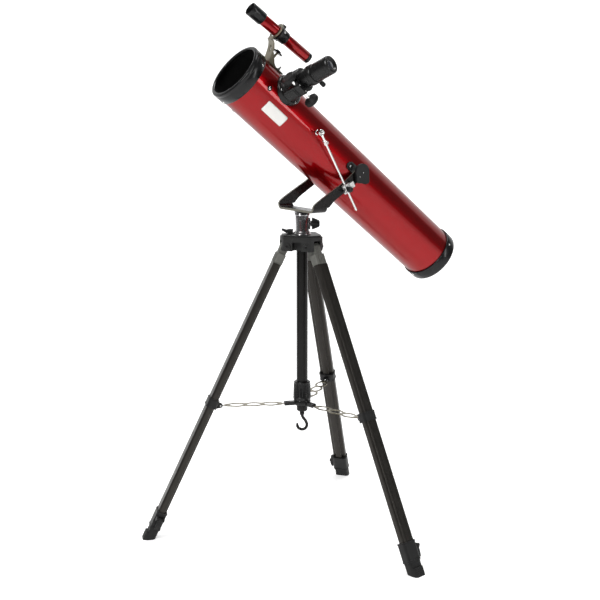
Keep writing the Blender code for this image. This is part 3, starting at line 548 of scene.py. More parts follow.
def make_optics():
    bottom = TUBE_REAR
    dish = [(38 * (1 - k / 10), bottom + 9 - 0.9 * (1 - (1 - k / 10) ** 2)) for k in range(10)]
    profile = [(0, bottom), (37.4, bottom), (38, bottom + 0.6), (38, bottom + 8.5)]
    piece("main_mirror", turned(profile + dish + [(0, bottom + 8.1)], 96), "mirror", "tube",
          TUBE,
          ["primary_mirror"], angle=40)

    reach = TUBE_RADIUS - TUBE_WALL - GAP
    hub = turned([(0, SPIDER_STATION - 9), (8, SPIDER_STATION - 9), (9, SPIDER_STATION - 8),
                  (9, SPIDER_STATION + 5.5), (7.5, SPIDER_STATION + 7), (3, SPIDER_STATION + 7),
                  (2.4, SPIDER_STATION + 5.5), (0, SPIDER_STATION + 5.5)], 40)
    vanes = []
    for k in range(3):
        a = radians(SPIDER_ANGLE + 120 * k)
        turn = rotation("Z", -a)
        vane = block((4, -0.6, SPIDER_STATION - 5), (reach - 1.5, 0.6, SPIDER_STATION + 5))
        pad = block((reach - 3.4, -4, SPIDER_STATION - 4), (reach - 0.8, 4, SPIDER_STATION + 4))
        vanes += [moved(m, turn=turn) for m in (vane, pad)]
    piece("spider_vanes", join(hub, *vanes), "enamel", "tube", TUBE, ["spider"], bevel=0.25)
    places = [on_tube(SPIDER_ANGLE + 120 * k, SPIDER_STATION, TUBE_RADIUS) for k in range(3)]
    screws("spider_screws", places, 3.1, 2.2, "chrome", "tube", washer=5.4)

    top = SPIDER_STATION - 9 - GAP
    out = Vector((cos(radians(FOCUS_ANGLE)), -sin(radians(FOCUS_ANGLE)), 0))
    body = cylinder(12.5, FOCUS_STATION - 14, top, 48)
    wedge = block((-60, -40, 0), (60, 40, 60))
    normal = (out - Vector((0, 0, 1))).normalized()
    wedge = moved(wedge, (0, 0, FOCUS_STATION), facing(normal))
    holder = cut(body, wedge)

    def coated(face):
        return 1 if face.normal.dot(normal) > 0.95 else 0

    piece("diagonal_mirror", holder, ["inside", "mirror"], "tube", TUBE,
          ["secondary_mirror"],
          angle=30, by_face=coated)


def make_label():
    """A blank sticker that follows the tube's curve."""
    start, end, low, high = 105.5, 129.2, 203.3, 258.6
    for name, inset, lift, paint in (("label_border", 0.0, 0.10, "label_edge"),
                                     ("blank_label", 0.7, 0.16, "label")):
        radius = TUBE_RADIUS + lift
        half_x, half_y = (high - low) / 2 - inset, radians(end - start) / 2 * TUBE_RADIUS - inset
        middle = radians((start + end) / 2)
        rows, cols = 12, 24
        points, faces = [], []
        for i in range(cols + 1):
            for j in range(rows + 1):
                x, y = (2 * i / cols - 1), (2 * j / rows - 1)
                corner = 2.5
                x_mm, y_mm = x * half_x, y * half_y
                over_x, over_y = abs(x_mm) - (half_x - corner), abs(y_mm) - (half_y - corner)
                if over_x > 0 and over_y > 0:
                    reach = sqrt(over_x ** 2 + over_y ** 2)
                    limit = max(over_x, over_y)
                    x_mm -= (1 if x > 0 else -1) * over_x * (1 - limit / reach)
                    y_mm -= (1 if y > 0 else -1) * over_y * (1 - limit / reach)
                a = middle + y_mm / TUBE_RADIUS
                points.append((radius * cos(a), -radius * sin(a), (low + high) / 2 + x_mm))
        for i in range(cols):
            for j in range(rows):
                k = i * (rows + 1) + j
                faces.append([k, k + 1, k + rows + 2, k + rows + 1])
        sheet = bpy.data.meshes.new(name)
        sheet.from_pydata(points, [], faces)
        bm = bmesh.new()
        bm.from_mesh(sheet)
        outward = Vector((cos(middle), -sin(middle), 0))
        if bm.faces[:] and sum(f.normal.dot(outward) for f in bm.faces) < 0:
            bmesh.ops.reverse_faces(bm, faces=bm.faces)
        bm.to_mesh(sheet)
        bm.free()
        obj = piece(name, sheet, paint, "tube", TUBE)
        thick = obj.modifiers.new("thickness", "SOLIDIFY")
        thick.thickness = 0.08 * MM
        thick.offset = -1.0


# --- the focuser ---

DRAW_RADIUS = 18.0
FLANGE_SHIFT = -3.0                       # of the flange's middle, towards the tube's rear
HOLDER_LOW, HOLDER_HIGH = 120.0, 132.0    # the eyepiece holder, out from the tube's axis
HOLDER_SCREW = 126.5


def make_focuser():
    flange = turned([(0, 44), (31.5, 44), (31.5, 60.8), (30.6, 62.6), (28.5, 63.6), (27.0, 64.0), (0, 64)],
                    96)
    flange = moved(flange, (FLANGE_SHIFT, 0, 0))
    body = turned([(0, 50), (25.4, 50), (25.4, 66), (24.4, 69), (23.2, 73), (23, 76), (23, 101),
                   (24.2, 102.2),
                   (24.2, 104.2), (23.4, 105), (0, 105)], 80)
    box = moved(prism(rounded(13.5, 11, 3.5), 66, 105), (0, 18.5, 0))
    ledge = moved(prism(rounded(10.0, 13.0, 2.5), 64, 88), (0, 17.5, 0))
    rails = [moved(block((-1.4, 22.0, 66), (1.4, 24.6, 104)), turn=rotation("Z", radians(a)))
             for a in (118, 150, 210, 242)]
    shape = join(flange, body, box, ledge, *rails)
    saddle = moved(cylinder(TUBE_RADIUS + GAP, -80, 80, FINE), turn=facing((1, 0, 0)))
    bore = cylinder(DRAW_RADIUS + GAP, 30, 120, 64)
    gear_room = moved(cylinder(6.0, -7, 7, 24), (0, PINION_OFFSET, PINION_HEIGHT), facing((1, 0, 0)))
    shaft_bore = moved(cylinder(3.4, -60, 60, 24), (0, PINION_OFFSET, PINION_HEIGHT), facing((1, 0, 0)))
    groove = block((-11, 27.4, 91.5), (11, 40, 93.0))
    piece("focuser_body", cut(shape, saddle, bore, gear_room, shaft_bore, groove), "gloss", "tube",
          FOCUS,
          ["focuser_housing"], bevel=0.5, segments=2, angle=38)
    places = []
    for a in (45, 135, 225, 315):
        x, y = 28.2 * cos(radians(a)), 28.2 * sin(radians(a))
        places.append(shifted(FOCUS, (FLANGE_SHIFT + x, y, 63.2)))
    screws("focuser_flange_screws", places, 2.3, 1.2, "steel", "tube")
    cover = [shifted(FOCUS, (x, y, 105.0)) for x in (-9, 9) for y in (25.5,)]
    screws("pinion_box_screws", cover, 1.7, 0.9, "steel", "tube")

    low, high = HOLDER_LOW, HOLDER_HIGH
    draw = turned([(16.1, 48), (DRAW_RADIUS - 0.6, 48), (DRAW_RADIUS, 48.6), (DRAW_RADIUS, low - 2),
                   (19.0, low - 1.2),
                   (20, low - 0.4), (20, low + 2.4), (19.4, low + 2.8), (19.4, low + 3.6), (20, low + 4),
                   (20, high - 1.2),
                   (19.2, high), (16.9, high), (16.1, high - 0.8)], 80)
    rack = block((-4, DRAW_RADIUS - 0.9, 40), (4, DRAW_RADIUS + 5, low - 3))
    teeth = [block((-3.6, DRAW_RADIUS - 1.7, z), (3.6, DRAW_RADIUS + 1, z + 0.8)) for z in
             [51 + 1.6 * k for k in range(40)]]
    thread = moved(cylinder(2.3, 12, 30, 16), (0, 0, HOLDER_SCREW), facing((-1, 0, 0)))
    piece("focuser_draw_tube", cut(draw, rack, thread, merged(*teeth)), "gloss", "drawtube",
          FOCUS,
          ["focuser_drawtube"], angle=35)

    pinion = shifted(FOCUS, (0, PINION_OFFSET, PINION_HEIGHT))
    teeth = []
    for k in range(18):
        a0 = 2 * pi * k / 18
        teeth += [(3.9 * cos(a0), 3.9 * sin(a0)), (4.65 * cos(a0 + 0.09), 4.65 * sin(a0 + 0.09)),
                  (4.65 * cos(a0 + 0.2), 4.65 * sin(a0 + 0.2)), (3.9 * cos(a0 + 0.29), 3.9 * sin(a0 + 0.29))]
    gear = moved(prism(teeth, -6, 6), turn=facing((1, 0, 0)))
    shaft = moved(turned([(0, -36), (2.6, -36), (3, -35.4), (3, 31.4), (2.6, 32), (0, 32)], 32),
                  turn=facing((1, 0, 0)))
    piece("pinion_axle", join(shaft, gear), "chrome", "pinion", pinion, ["pinion_shaft"],
          angle=30)
    for name, node, start, way in (("focus_knob_a", "focus_knob_front", 25.0, 1),
                                   ("focus_knob_b", "focus_knob_rear", -29.5, -1)):
        grip = [(3.3, 0), (7.5, 0), (8.5, 0.8), (12.8, 1.0), (14.0, 2.2), (14.1, 9.2), (13.2, 10.6),
                (11.3, 11), (9.2, 11),
                (8.4, 10.3), (0, 10.3), (0, 7.5), (3.3, 7.5)]
        knob = join(turned(grip, 72), ribs(32, 14.0, 2.4, 9.4, 0.7, 1.5))
        turn = facing((way, 0, 0))
        piece(name, moved(knob, (start, 0, 0), turn), "satin", "pinion", pinion, [node],
              angle=35)


def make_eyepiece():
    seat = HOLDER_HIGH + GAP
    profile = [(0, 109), (12.5, 109), (12.5, 107), (15.4, 107), (15.8, 107.5), (15.8, seat), (17.6, seat),
               (18.5, seat + 0.9),
               (18.5, 136.4), (18.0, 136.8), (18.0, 137.8), (18.5, 138.2), (18.5, 164.0), (18.1, 164.4),
               (18.1, 165.6),
               (18.5, 166), (18.5, 169.5), (18.2, 171.4), (17.2, 173.3), (15.6, 174.3), (14.0, 174.6),
               (12.4, 174.3),
               (10.6, 172.2), (9.6, 171.2), (9.0, 171.0), (0, 171.0)]
    piece("eyepiece_barrel", turned(profile, 80), "gloss", "eyepiece", FOCUS, ["eyepiece"],
          angle=28)
    lens = [(0, 170.6), (8.8, 170.6), (8.8, 171.05)] + [(8.8 * cos(a), 171.05 + 1.1 * sin(a)) for a in
                                                       [radians(15 * k)
                                                        for k in range(1, 6)]] + [(0, 172.15)]
    piece("eyepiece_lens", turned(lens, 48), "lens", "eyepiece", FOCUS, angle=60)
    grip = [(0, 16.4), (2.0, 16.4), (2.0, 21.8), (3.6, 22.6), (4.4, 23.8), (4.4, 32.4), (3.6, 33.7),
            (2.2, 34), (0, 34)]
    screw = join(turned(grip, 40), ribs(14, 4.4, 24.2, 32.2, 0.35, 0.9))
    piece("eyepiece_thumb_screw", moved(screw, (0, 0, HOLDER_SCREW), facing((-1, 0, 0))), "satin",
          "eyepiece_screw",
          FOCUS, ["eyepiece_screw"], angle=35)


# --- the finder ---

def make_finder():
    collar = [(11 + GAP, -16.6), (12.2, -17), (12.6, -16.4), (12.9, -12), (13.1, -9), (13.8, -4),
              (14.8, 0.4), (15.6, 1.8),
              (16, 2.6), (16, 4.3), (15.4, 5), (11.9, 5), (11 + GAP, 4.4)]
    ear = moved(prism(rounded(4, 4.5, 3.2), -2, 5), (15.5, 0, 0))
    ear = cut(ear, cylinder(11 + 2 * GAP, -10, 30, 48))
    piece("finder_clamp", join(turned(collar, 72), ear), "gloss", "finder", FINDER,
          ["finder_collar"],
          bevel=0.3, angle=40)
    tube = [(9.8, -74), (10.7, -74), (11, -73.6), (11, 59.6), (10.7, 60), (9.8, 60)]
    piece("finder_barrel", turned(tube, 72), "red", "finder", FINDER, ["finder_tube"],
          angle=40)
    cell = [(0, 66), (11.2, 66), (11.8, 67), (11.8, 79.6), (12.3, 80.5), (12.8, 80.4), (13.25, 79.6),
            (13.25, 72.2),
            (12.95, 71.9), (12.95, 71.3), (13.25, 71), (13.25, 48.2), (12.6, 47), (11 + GAP, 47),
            (11 + GAP, 60 + GAP),
            (0, 60 + GAP)]
    piece("finder_front_cell", turned(cell, 72), "ring", "finder", FINDER,
          ["finder_objective_cell"],
          angle=35)
    lens = [(0, 66.1), (11.5, 66.1), (11.5, 67)] + [(11.5 * cos(a), 67 + 1.6 * sin(a)) for a in
                                                   [radians(15 * k) for k in range(1, 6)]] + [(0, 68.6)]
    piece("finder_objective_lens", turned(lens, 48), "lens", "finder", FINDER, angle=60)
    cap = [(0, -77), (5.6, -77), (6, -78), (6.4, -81.4), (7.2, -82.4), (9.2, -82.4), (10.3, -81.8),
           (10.7, -80.8), (10.7, -75.2),
           (10.4, -74 - GAP), (9.5, -74 - GAP), (9.5, -60), (8, -60), (8, -72), (0, -72)]
    piece("finder_rear_cell", turned(cap, 64), "ring", "finder_eyepiece", FINDER,
          ["finder_eyepiece"],
          angle=35)
    eye = [(0, -76.6), (5.4, -76.6), (5.4, -77.1)] + [(5.4 * cos(a), -77.1 - 0.8 * sin(a)) for a in
                                                      [radians(18 * k) for k in range(1, 5)]] + [(0, -77.9)]
    piece("finder_eye_lens", turned(eye, 40), "lens", "finder_eyepiece", FINDER, angle=60)
    places = [shifted(FINDER, (14.0 * cos(a), 14.0 * sin(a), -3.0), facing((cos(a), sin(a), -0.2)))
              for a in [radians(d) for d in (-62, 62, 180)]]
    screws("finder_aim_screws", places, 2.0, 1.5, "chrome", "finder")


def make_bracket():
    """The stamped bracket: foot, leaning plate with an oval hole, side gussets and the eye."""
    at = shifted(TUBE, turn=rotation("Z", -radians(BRACKET_ANGLE)))
    under = TUBE_RADIUS + GAP
    strip = [(252, 60.9), (288, 60.9)] + arc((287.0, 65.0), 4.1, -80, -24, 5)
    strip += [(298, 80), (301.4, 86.4), (306, 91.4), (310, 94.4), (313.6, 95.6), (313.6, 93.2),
              (310.6, 92.2), (307.6, 89.8),
              (303.2, 84.6), (300, 78.5), (293.2, 62.6), (291.4, 58.0), (252, 58.0)]
    plate = moved(prism([(r, a) for a, r in strip], -14, 14), turn=columns((1, 0, 0), (0, 0, 1), (0, -1, 0)))
    plate = cut(plate, cylinder(under, 200, 400, FINE))
    oval = [(7.0 * cos(a), 3.2 * sin(a)) for a in [2 * pi * n / 40 for n in range(40)]]
    hole = moved(prism(oval, -6, 6), (82, 0, 300.8), rotation("Y", radians(-34)))
    radius, station = 114.0, 313.3
    eye = moved(turned([(12.9, 0), (17.5, 0), (17.5, 2.2), (12.9, 2.2)], 72), (radius, 0, station))
    web = block((93.6, -9, station - 0.4), (radius - 15, 9, station + 2.2))
    stud = moved(moved(cylinder(2.4, 60, 88, 24), turn=facing((1, 0, 0))), (0, 0, 284))
    gusset = [(60.5, 272), (64, 280), (78, 294.8), (78.5, 297.4), (60.5, 291.0)]
    sides = [moved(prism(gusset, y, y + 1.4), turn=columns((1, 0, 0), (0, 0, 1), (0, -1, 0)))
             for y in (-13.9, 12.5)]
    shape = join(cut(plate, hole), web, eye, stud, *sides)
    piece("finder_stand", shape, "olive", "tube", at, ["finder_bracket"], bevel=0.35,
          angle=40)

    nut = basis(joint_place("finder_thumb_nut_turn"), FRONT, BRACKET_OUT)
    disc = [(2.7, 0), (9.8, 0), (10.4, 0.5), (10.4, 2.7), (9.8, 3.2), (6.2, 3.2), (5.6, 4.6), (4.8, 6),
            (2.7, 6)]
    shape = join(turned(disc, 60), ribs(32, 10.3, 0.4, 2.8, 0.6, 1.1))
    piece("bracket_thumb_nut", shape, "ring", "thumb_nut", nut, ["finder_thumb_nut"],
          angle=35)
    hexagon = [(4.6 * cos(radians(60 * k + 30)), 4.6 * sin(radians(60 * k + 30))) for k in range(6)]
    low_nut = join(prism(hexagon, 61.2, 65.2), turned([(0, 60.8), (6.4, 60.8), (6.4, 61.6), (0, 61.6)], 40),
                   cylinder(2.1, 61, 70, 24))
    place = shifted(at, (0, 0, 259.0), columns((0, 0, 1), (0, -1, 0), (1, 0, 0)))
    piece("bracket_hex_nut", low_nut, "steel", "tube", place, bevel=0.25, angle=35)


# --- altitude bearing and rod ---

def sideways(side):
    """Turns a shape made along Z towards the focuser's side (-1) or the far side (1)."""
    return columns((1, 0, 0), (0, 0, -side), (0, side, 0))


PLUGS = ((2.9, 1.1), (-5.9, -6.5))        # in a knob's face
EAR = 24.5                                # of a bearing flange's screws, from the altitude axis


def make_altitude():
    for name, node, side in (("bearing_near", "altitude_flange_near", -1),
                             ("bearing_far", "altitude_flange_far", 1)):
        plate = prism(arc((0, EAR), 9, 0, 180, 20) + arc((0, -EAR), 9, 180, 360, 20), 50, 61.6)
        boss = turned([(0, 50), (11.5, 50), (11.5, 62.2), (11.0, 62.7), (0, 62.7)], 64)
        rings = [moved(turned([(3.6, 58), (6.6, 58), (6.6, 61.9), (6.0, 62.4), (4.2, 62.4), (3.6, 61.9)],
                              40), (0, y, 0))
                 for y in (-EAR, EAR)]
        saddle = moved(cylinder(TUBE_RADIUS + GAP, -60, 60, FINE),
                       turn=columns((1, 0, 0), (0, 0, 1), (0, -1, 0)))
        thread = cylinder(4.3, 60.2, 80, 32)
        holes = [moved(cylinder(3.7, 59.4, 80, 32), (0, y, 0)) for y in (-EAR, EAR)]
        shape = cut(join(plate, boss, *rings), saddle, thread, *holes)
        piece(name, moved(shape, turn=sideways(side)), "satin", "tube", TUBE, [node],
              bevel=0.4, angle=40)
        turn = sideways(side)
        places = [shifted(TUBE, turn @ Vector((0, y, 59.6)), turn) for y in (-EAR, EAR)]
        screws(name + "_screws", places, 3.2, 2.0, "steel", "tube")
    for name, node, side, body in (("knob_near_side", "altitude_knob_near", -1, "knob_near"),
                                   ("knob_far_side", "altitude_knob_far", 1, "knob_far")):
        head = arc((1.0, 3.5), 16.5, -10, 190, 60) + arc((-8, -13.5), 6.5, 200, 262, 14)
        head += arc((12.3, -16.0), 6.0, -90, -8, 14)
        inner = 67.8 + GAP
        skirt = prism([(0.94 * x, 0.94 * y) for x, y in head], inner, inner + 3)
        cap = prism(head, inner + 2, inner + 8)
        stud = cylinder(4.0, 60.5, inner + 3, 32)
        dimples = [moved(cylinder(1.3, inner + 7.2, inner + 9, 20), (x, y, 0)) for x, y in PLUGS]
        shape = cut(join(cap, skirt, stud), *dimples)
        piece(name, moved(shape, turn=sideways(side)), "knob", body, LEVEL, [node],
              bevel=0.9, segments=4,
              angle=40)
        studs = [moved(turned([(0, inner + 7.0), (1.1, inner + 7.0), (1.0, inner + 7.7), (0, inner + 7.9)],
                              20), (x, y, 0))
                 for x, y in PLUGS]
        piece(name + "_plugs", moved(merged(*studs), turn=sideways(side)), "steel", body,
              LEVEL, angle=40)


ROD_LENGTH = 184.77
ROD_TO_CLAMP = 131.0


def make_rod():
    length = ROD_LENGTH
    tip = [(0, -length)] + [(2.2 * sin(a), -length + 2.2 - 2.2 * cos(a))
                            for a in [radians(15 * k) for k in range(1, 7)]]
    rod = turned(tip + [(2.2, -6), (0, -6)], 36)
    eye = moved(turned([(3.3, -2.2), (3.5, -2.4), (6.1, -2.4), (6.5, -2.0), (6.5, 2.0), (6.1, 2.4),
                        (3.5, 2.4), (3.3, 2.2)], 48),
                turn=facing((0, 1, 0)))
    neck = moved(turned([(0, -9), (2.6, -9), (3.4, -5.2), (0, -5.2)], 32))
    shape = cut(join(rod, neck, eye), moved(cylinder(3.25, -10, 10, 32), turn=facing((0, 1, 0))))
    piece("altitude_chrome_rod", shape, "chrome", "rod", ROD, ["altitude_rod"], angle=35)

    anchor = basis(joint_place("rod_swing"), (1, 0, 0), (0, -1, 0))
    plane = (PIVOT.y - joint_place("rod_swing").y) / MM
    seat = TUBE_RADIUS + GAP - plane
    bolt = turned([(0, seat), (5.5, seat), (5.5, seat + 2.2), (4.4, seat + 3), (4.0, -4.4), (5.0, -3.4),
                   (5.0, -2.9),
                   (3.0, -2.7), (3.0, 8), (0, 8)], 48)
    hexagon = [(5.2 * cos(radians(60 * k)), 5.2 * sin(radians(60 * k))) for k in range(6)]
    nut = prism(hexagon, 3.0, 6.0)
    dome = turned([(0, 7), (3.4, 7), (3.4, 8.2), (2.6, 9.2), (1.2, 9.7), (0, 9.8)], 32)
    piece("rod_anchor_bolt", join(bolt, nut, dome), "chrome", "tube", anchor,
          ["rod_anchor"], bevel=0.2,
          angle=35)
    wing_nut = [turned([(2.3, -4), (4.2, -4), (4.4, -3.4), (3.6, 3.4), (2.3, 4)], 32)]
    for way in (1, -1):
        blade = [(2.0, -3.6), (5.5, -3.2), (9.0, 0.2), (9.6, 3.2), (8.6, 4.6), (6.6, 4.2), (4.4, 1.6),
                 (2.0, 2.4)]
        blade = [(way * x, z) for x, z in blade]
        wing_nut.append(cut(moved(prism(blade, -0.9, 0.9), turn=columns((0, 1, 0), (0, 0, 1), (1, 0, 0))),
                            cylinder(2.8, -9, 9, 24)))
    piece("rod_wing_nut", moved(merged(*wing_nut), (0, 0, -24)), "steel", "rod", ROD,
          bevel=0.3, angle=35)

    clamp = shifted(ROD, (0, 0, -ROD_TO_CLAMP))
    body = prism(rounded(7, 4.7, 1.2), -9, 9)
    body = moved(body, (2, -0.3, 0))
    boss = block((6, -4.5, -6), (19, 2.5, 6))
    bore = cylinder(2.2 + 0.25, -30, 30, 32)
    slit = block((5, -0.7, -20), (12.5, 0.7, -4))
    piece("rod_clamp_block", cut(join(body, boss), bore, slit), "steel", "rod_clamp",
          clamp, ["rod_clamp"],
          bevel=0.6, segments=3, angle=40)
    knurls = []
    for z in (5.5, -5.5):
        nut = join(turned([(0, 0), (3.9, 0), (4.2, 0.3), (4.2, 3.4), (3.8, 3.8), (1.6, 3.8), (0, 3.9)], 40),
                   ribs(20, 4.1, 0.3, 3.5, 0.3, 0.6))
        knurls.append(moved(nut, (-4.6, 0, z), facing((-1, 0, 0))))
    piece("rod_clamp_nuts", merged(*knurls), "steel", "rod_clamp", clamp, angle=30)
    screw = basis(joint_place("rod_clamp_screw_turn"), (1, 0, 0), (0, -1, 0))
    head = [(0, 0), (4.3, 0), (4.6, 0.5), (5.7, 1.8), (5.8, 8.6), (5.2, 9.9), (3.6, 10.5), (0, 10.5)]
    shape = join(turned(head, 48), ribs(16, 5.7, 2.2, 8.8, 0.5, 1.2))
    piece("rod_clamp_thumb_screw", shape, "knob", "clamp_screw", screw, ["rod_clamp_screw"],
          angle=35)


# --- the fork and the column ---

HUB_BOTTOM, HUB_TOP, HUB_RADIUS = 613.5, 646.0, 47.0
GUIDE_BOTTOM, GUIDE_RADIUS = 261.0, 12.0
HEAD_SCREW_HEIGHT = joint_place("azimuth_lock_turn").z / MM
PIVOT_RADIUS, PIVOT_HEIGHT = 37.6, 622.0
YOKE_LOW, YOKE_HIGH, YOKE_HALF, YOKE_BEND = 694.7, 699.2, 17.0, 12.0
ARM_INNER, ARM_OUTER, ARM_HALF = 63.3, 67.8, 12.5


def make_yoke():
    """The bent bar, with black faces and edges painted paler as a painted highlight where light catches
    them.
    """
    thick = ARM_OUTER - ARM_INNER
    reach = ARM_OUTER - YOKE_BEND
    plate = block((-YOKE_HALF, -reach - 1, YOKE_LOW), (YOKE_HALF, reach + 1, YOKE_HIGH))
    profile = arc((reach, YOKE_LOW + YOKE_BEND), YOKE_BEND, -90, 0, 16)
    profile += arc((reach, YOKE_LOW + YOKE_BEND), YOKE_BEND - thick, 0, -90, 16)
    axis = ((PIVOT.x - AXIS.x) / MM, PIVOT.z / MM)
    foot = YOKE_LOW + YOKE_BEND
    rear = [(12, foot - 1.5), (18.5, foot - 1.5), (22.6, foot - 0.4), (27.4, foot + 4.6),
            (36, foot + 12.4), (60, foot + 27.4)]
    front = [(80, foot + 65.0), (57, foot + 48.0), (30, foot + 32.4), (4, foot + 17.4), (-8, foot + 9.8),
             (-14, foot + 5.2),
             (-YOKE_HALF, foot + 0.4)]
    arm = [(-YOKE_HALF, foot - 1.5)] + smoothed([(*p, 0) for p in rear], 5)
    arm += [(*p, 0) for p in arc(axis, ARM_HALF, -58.6, 128.6, 40)] + smoothed([(*p, 0) for p in front], 5)
    arm = [tuple(p)[:2] for p in arm]
    parts = [turned([(0, 656), (5.4, 656), (6.0, 656.6), (6.0, YOKE_LOW + 2), (0, YOKE_LOW + 2)], 40)]
    for side in (-1, 1):
        bend = prism([(side * y, z) for y, z in profile], -YOKE_HALF, YOKE_HALF)
        parts.append(moved(bend, turn=columns((0, 1, 0), (0, 0, 1), (1, 0, 0))))
        faces = sorted((-side * ARM_INNER, -side * ARM_OUTER))
        parts.append(moved(prism(arm, *faces), turn=columns((1, 0, 0), (0, 0, 1), (0, -1, 0))))
    hole = moved(cylinder(4.6, -90, 90, 40), turn=facing((0, 1, 0)))
    hole = moved(hole, (axis[0], 0, axis[1]))
    shape = cut(join(plate, *parts), hole)

    def edge(face):
        """The sheared edges, which take the paler painted highlight, face along X and Z; the bar's faces lie
        in its thickness direction.
        """
        n, c = face.normal, face.center
        if abs(c.y) > reach:
            radial = Vector((0, abs(c.y) - reach, c.z - (YOKE_LOW + YOKE_BEND)))
            if c.z < YOKE_LOW + YOKE_BEND and radial.length > 1:
                return 1 if abs(n.x) > 0.7 else 0
            return 0 if abs(n.y) > 0.7 else 1
        return 1 if abs(n.x) > 0.7 else 0

    # material index 1 is the painted highlight on the edges
    piece("fork", shape, ["enamel", "edge"], "yoke", STAND, ["yoke"], bevel=0.5,
          segments=2, angle=40,
          by_face=edge)


def make_column():
    inner = 10.3
    profile = [(0, 300), (inner - 0.8, 300), (inner, 301), (inner, HUB_TOP + GAP), (18.2, HUB_TOP + GAP),
               (19, 647.1),
               (19, 647.8), (17.2, 649.4), (15.6, 651.6), (14.9, 653.0), (14.0, 653.8), (14.0, 684.6),
               (14.6, 685.2),
               (15.7, 685.6), (16, 686.2), (16, 688.6), (15.5, 689.0), (15.5, 689.6), (16, 690.0),
               (16, 693.6),
               (15.4, 694.4), (0, 694.4)]
    post = turned(profile, 72)
    ear = []
    for y0, y1 in ((-5.5, -0.7), (0.7, 5.5)):
        lug = prism(rounded(2.4, 12, 2.0), 10, 17)
        ear.append(moved(lug, (0, (y0 + y1) / 2, HEAD_SCREW_HEIGHT),
                         columns((0, 1, 0), (0, 0, 1), (1, 0, 0))))
    bridge = moved(prism(rounded(5.4, 9, 2.5), 10, 15.2), (0, 0, HEAD_SCREW_HEIGHT),
                   columns((0, 1, 0), (0, 0, 1), (1, 0, 0)))
    spindle = cylinder(6.3, 655, 700, 40)
    thread = moved(moved(cylinder(2.8, 10.5, 40, 24), turn=facing((1, 0, 0))), (0, 0, HEAD_SCREW_HEIGHT))
    shape = cut(join(post, bridge, *ear), spindle, thread)
    piece("column_post", shape, "gunmetal", "column", HEAD, ["centre_column"], bevel=0.35,
          segments=2, angle=40)

    tube = [(0, 261), (8, 261), (10.4, 262), (11.6, 263.6), (12, 265.4), (12, 274), (11.7, 274.3),
            (12, 274.6), (12, 642),
            (10.6, 642), (10.6, 277), (0, 277)]
    socket = cylinder(3.6, 255, 271, 24)
    piece("column_sleeve", cut(turned(tube, 64), socket), "column", "stand", STAND,
          ["guide_tube"], angle=35)


def wing_screw(name, at, reach, shank, root, width, paint, body, replaces):
    """A thumb screw along +X: shank, collar and a winged grip with a rounded end."""
    stem = cylinder(2.5, -shank, reach * 0.4, 28)
    boss = turned([(0, GAP), (root - 0.5, GAP), (root, 0.9), (root, 2.2), (0.8 * root, 3.6),
                   (0.62 * root, reach - 1), (0, reach)], 36)
    outline = [(-width, 4.4), (-width * 0.93, 3.4), (-root * 0.5, 3.0), (root * 0.5, 3.0),
               (width * 0.93, 3.4), (width, 4.4),
               (width * 0.96, 6.2), (width * 0.55, reach - 1.6), (width * 0.3, reach - 0.2),
               (-width * 0.3, reach - 0.2),
               (-width * 0.55, reach - 1.6), (-width * 0.96, 6.2)]
    wing = moved(prism(outline, -1.9, 1.9), turn=columns((0, 1, 0), (0, 0, 1), (1, 0, 0)))
    shape = moved(join(stem, boss, wing), turn=facing((1, 0, 0)))
    piece(name, shape, paint, body, at, replaces, bevel=0.5, segments=3, angle=38)


def make_screws():
    axis = joint_axis("column_lock_turn")
    at = basis(joint_place("column_lock_turn"), axis, axis.cross(UP).cross(axis))
    wing_screw("column_wing_screw", at, 13, 7, 4.0, 5.4, "knob", "column_lock", ["column_lock_screw"])
    axis = joint_axis("azimuth_lock_turn")
    at = basis(joint_place("azimuth_lock_turn"), axis, UP.cross(axis))
    wing_screw("head_wing_screw", at, 20, 6, 6.0, 12.5, "knob", "azimuth_lock", ["azimuth_lock_screw"])


def leg_azimuth(side):
    out = joint_place(f"leg_hinge_{side}") - AXIS
    return atan2(out.y, out.x)


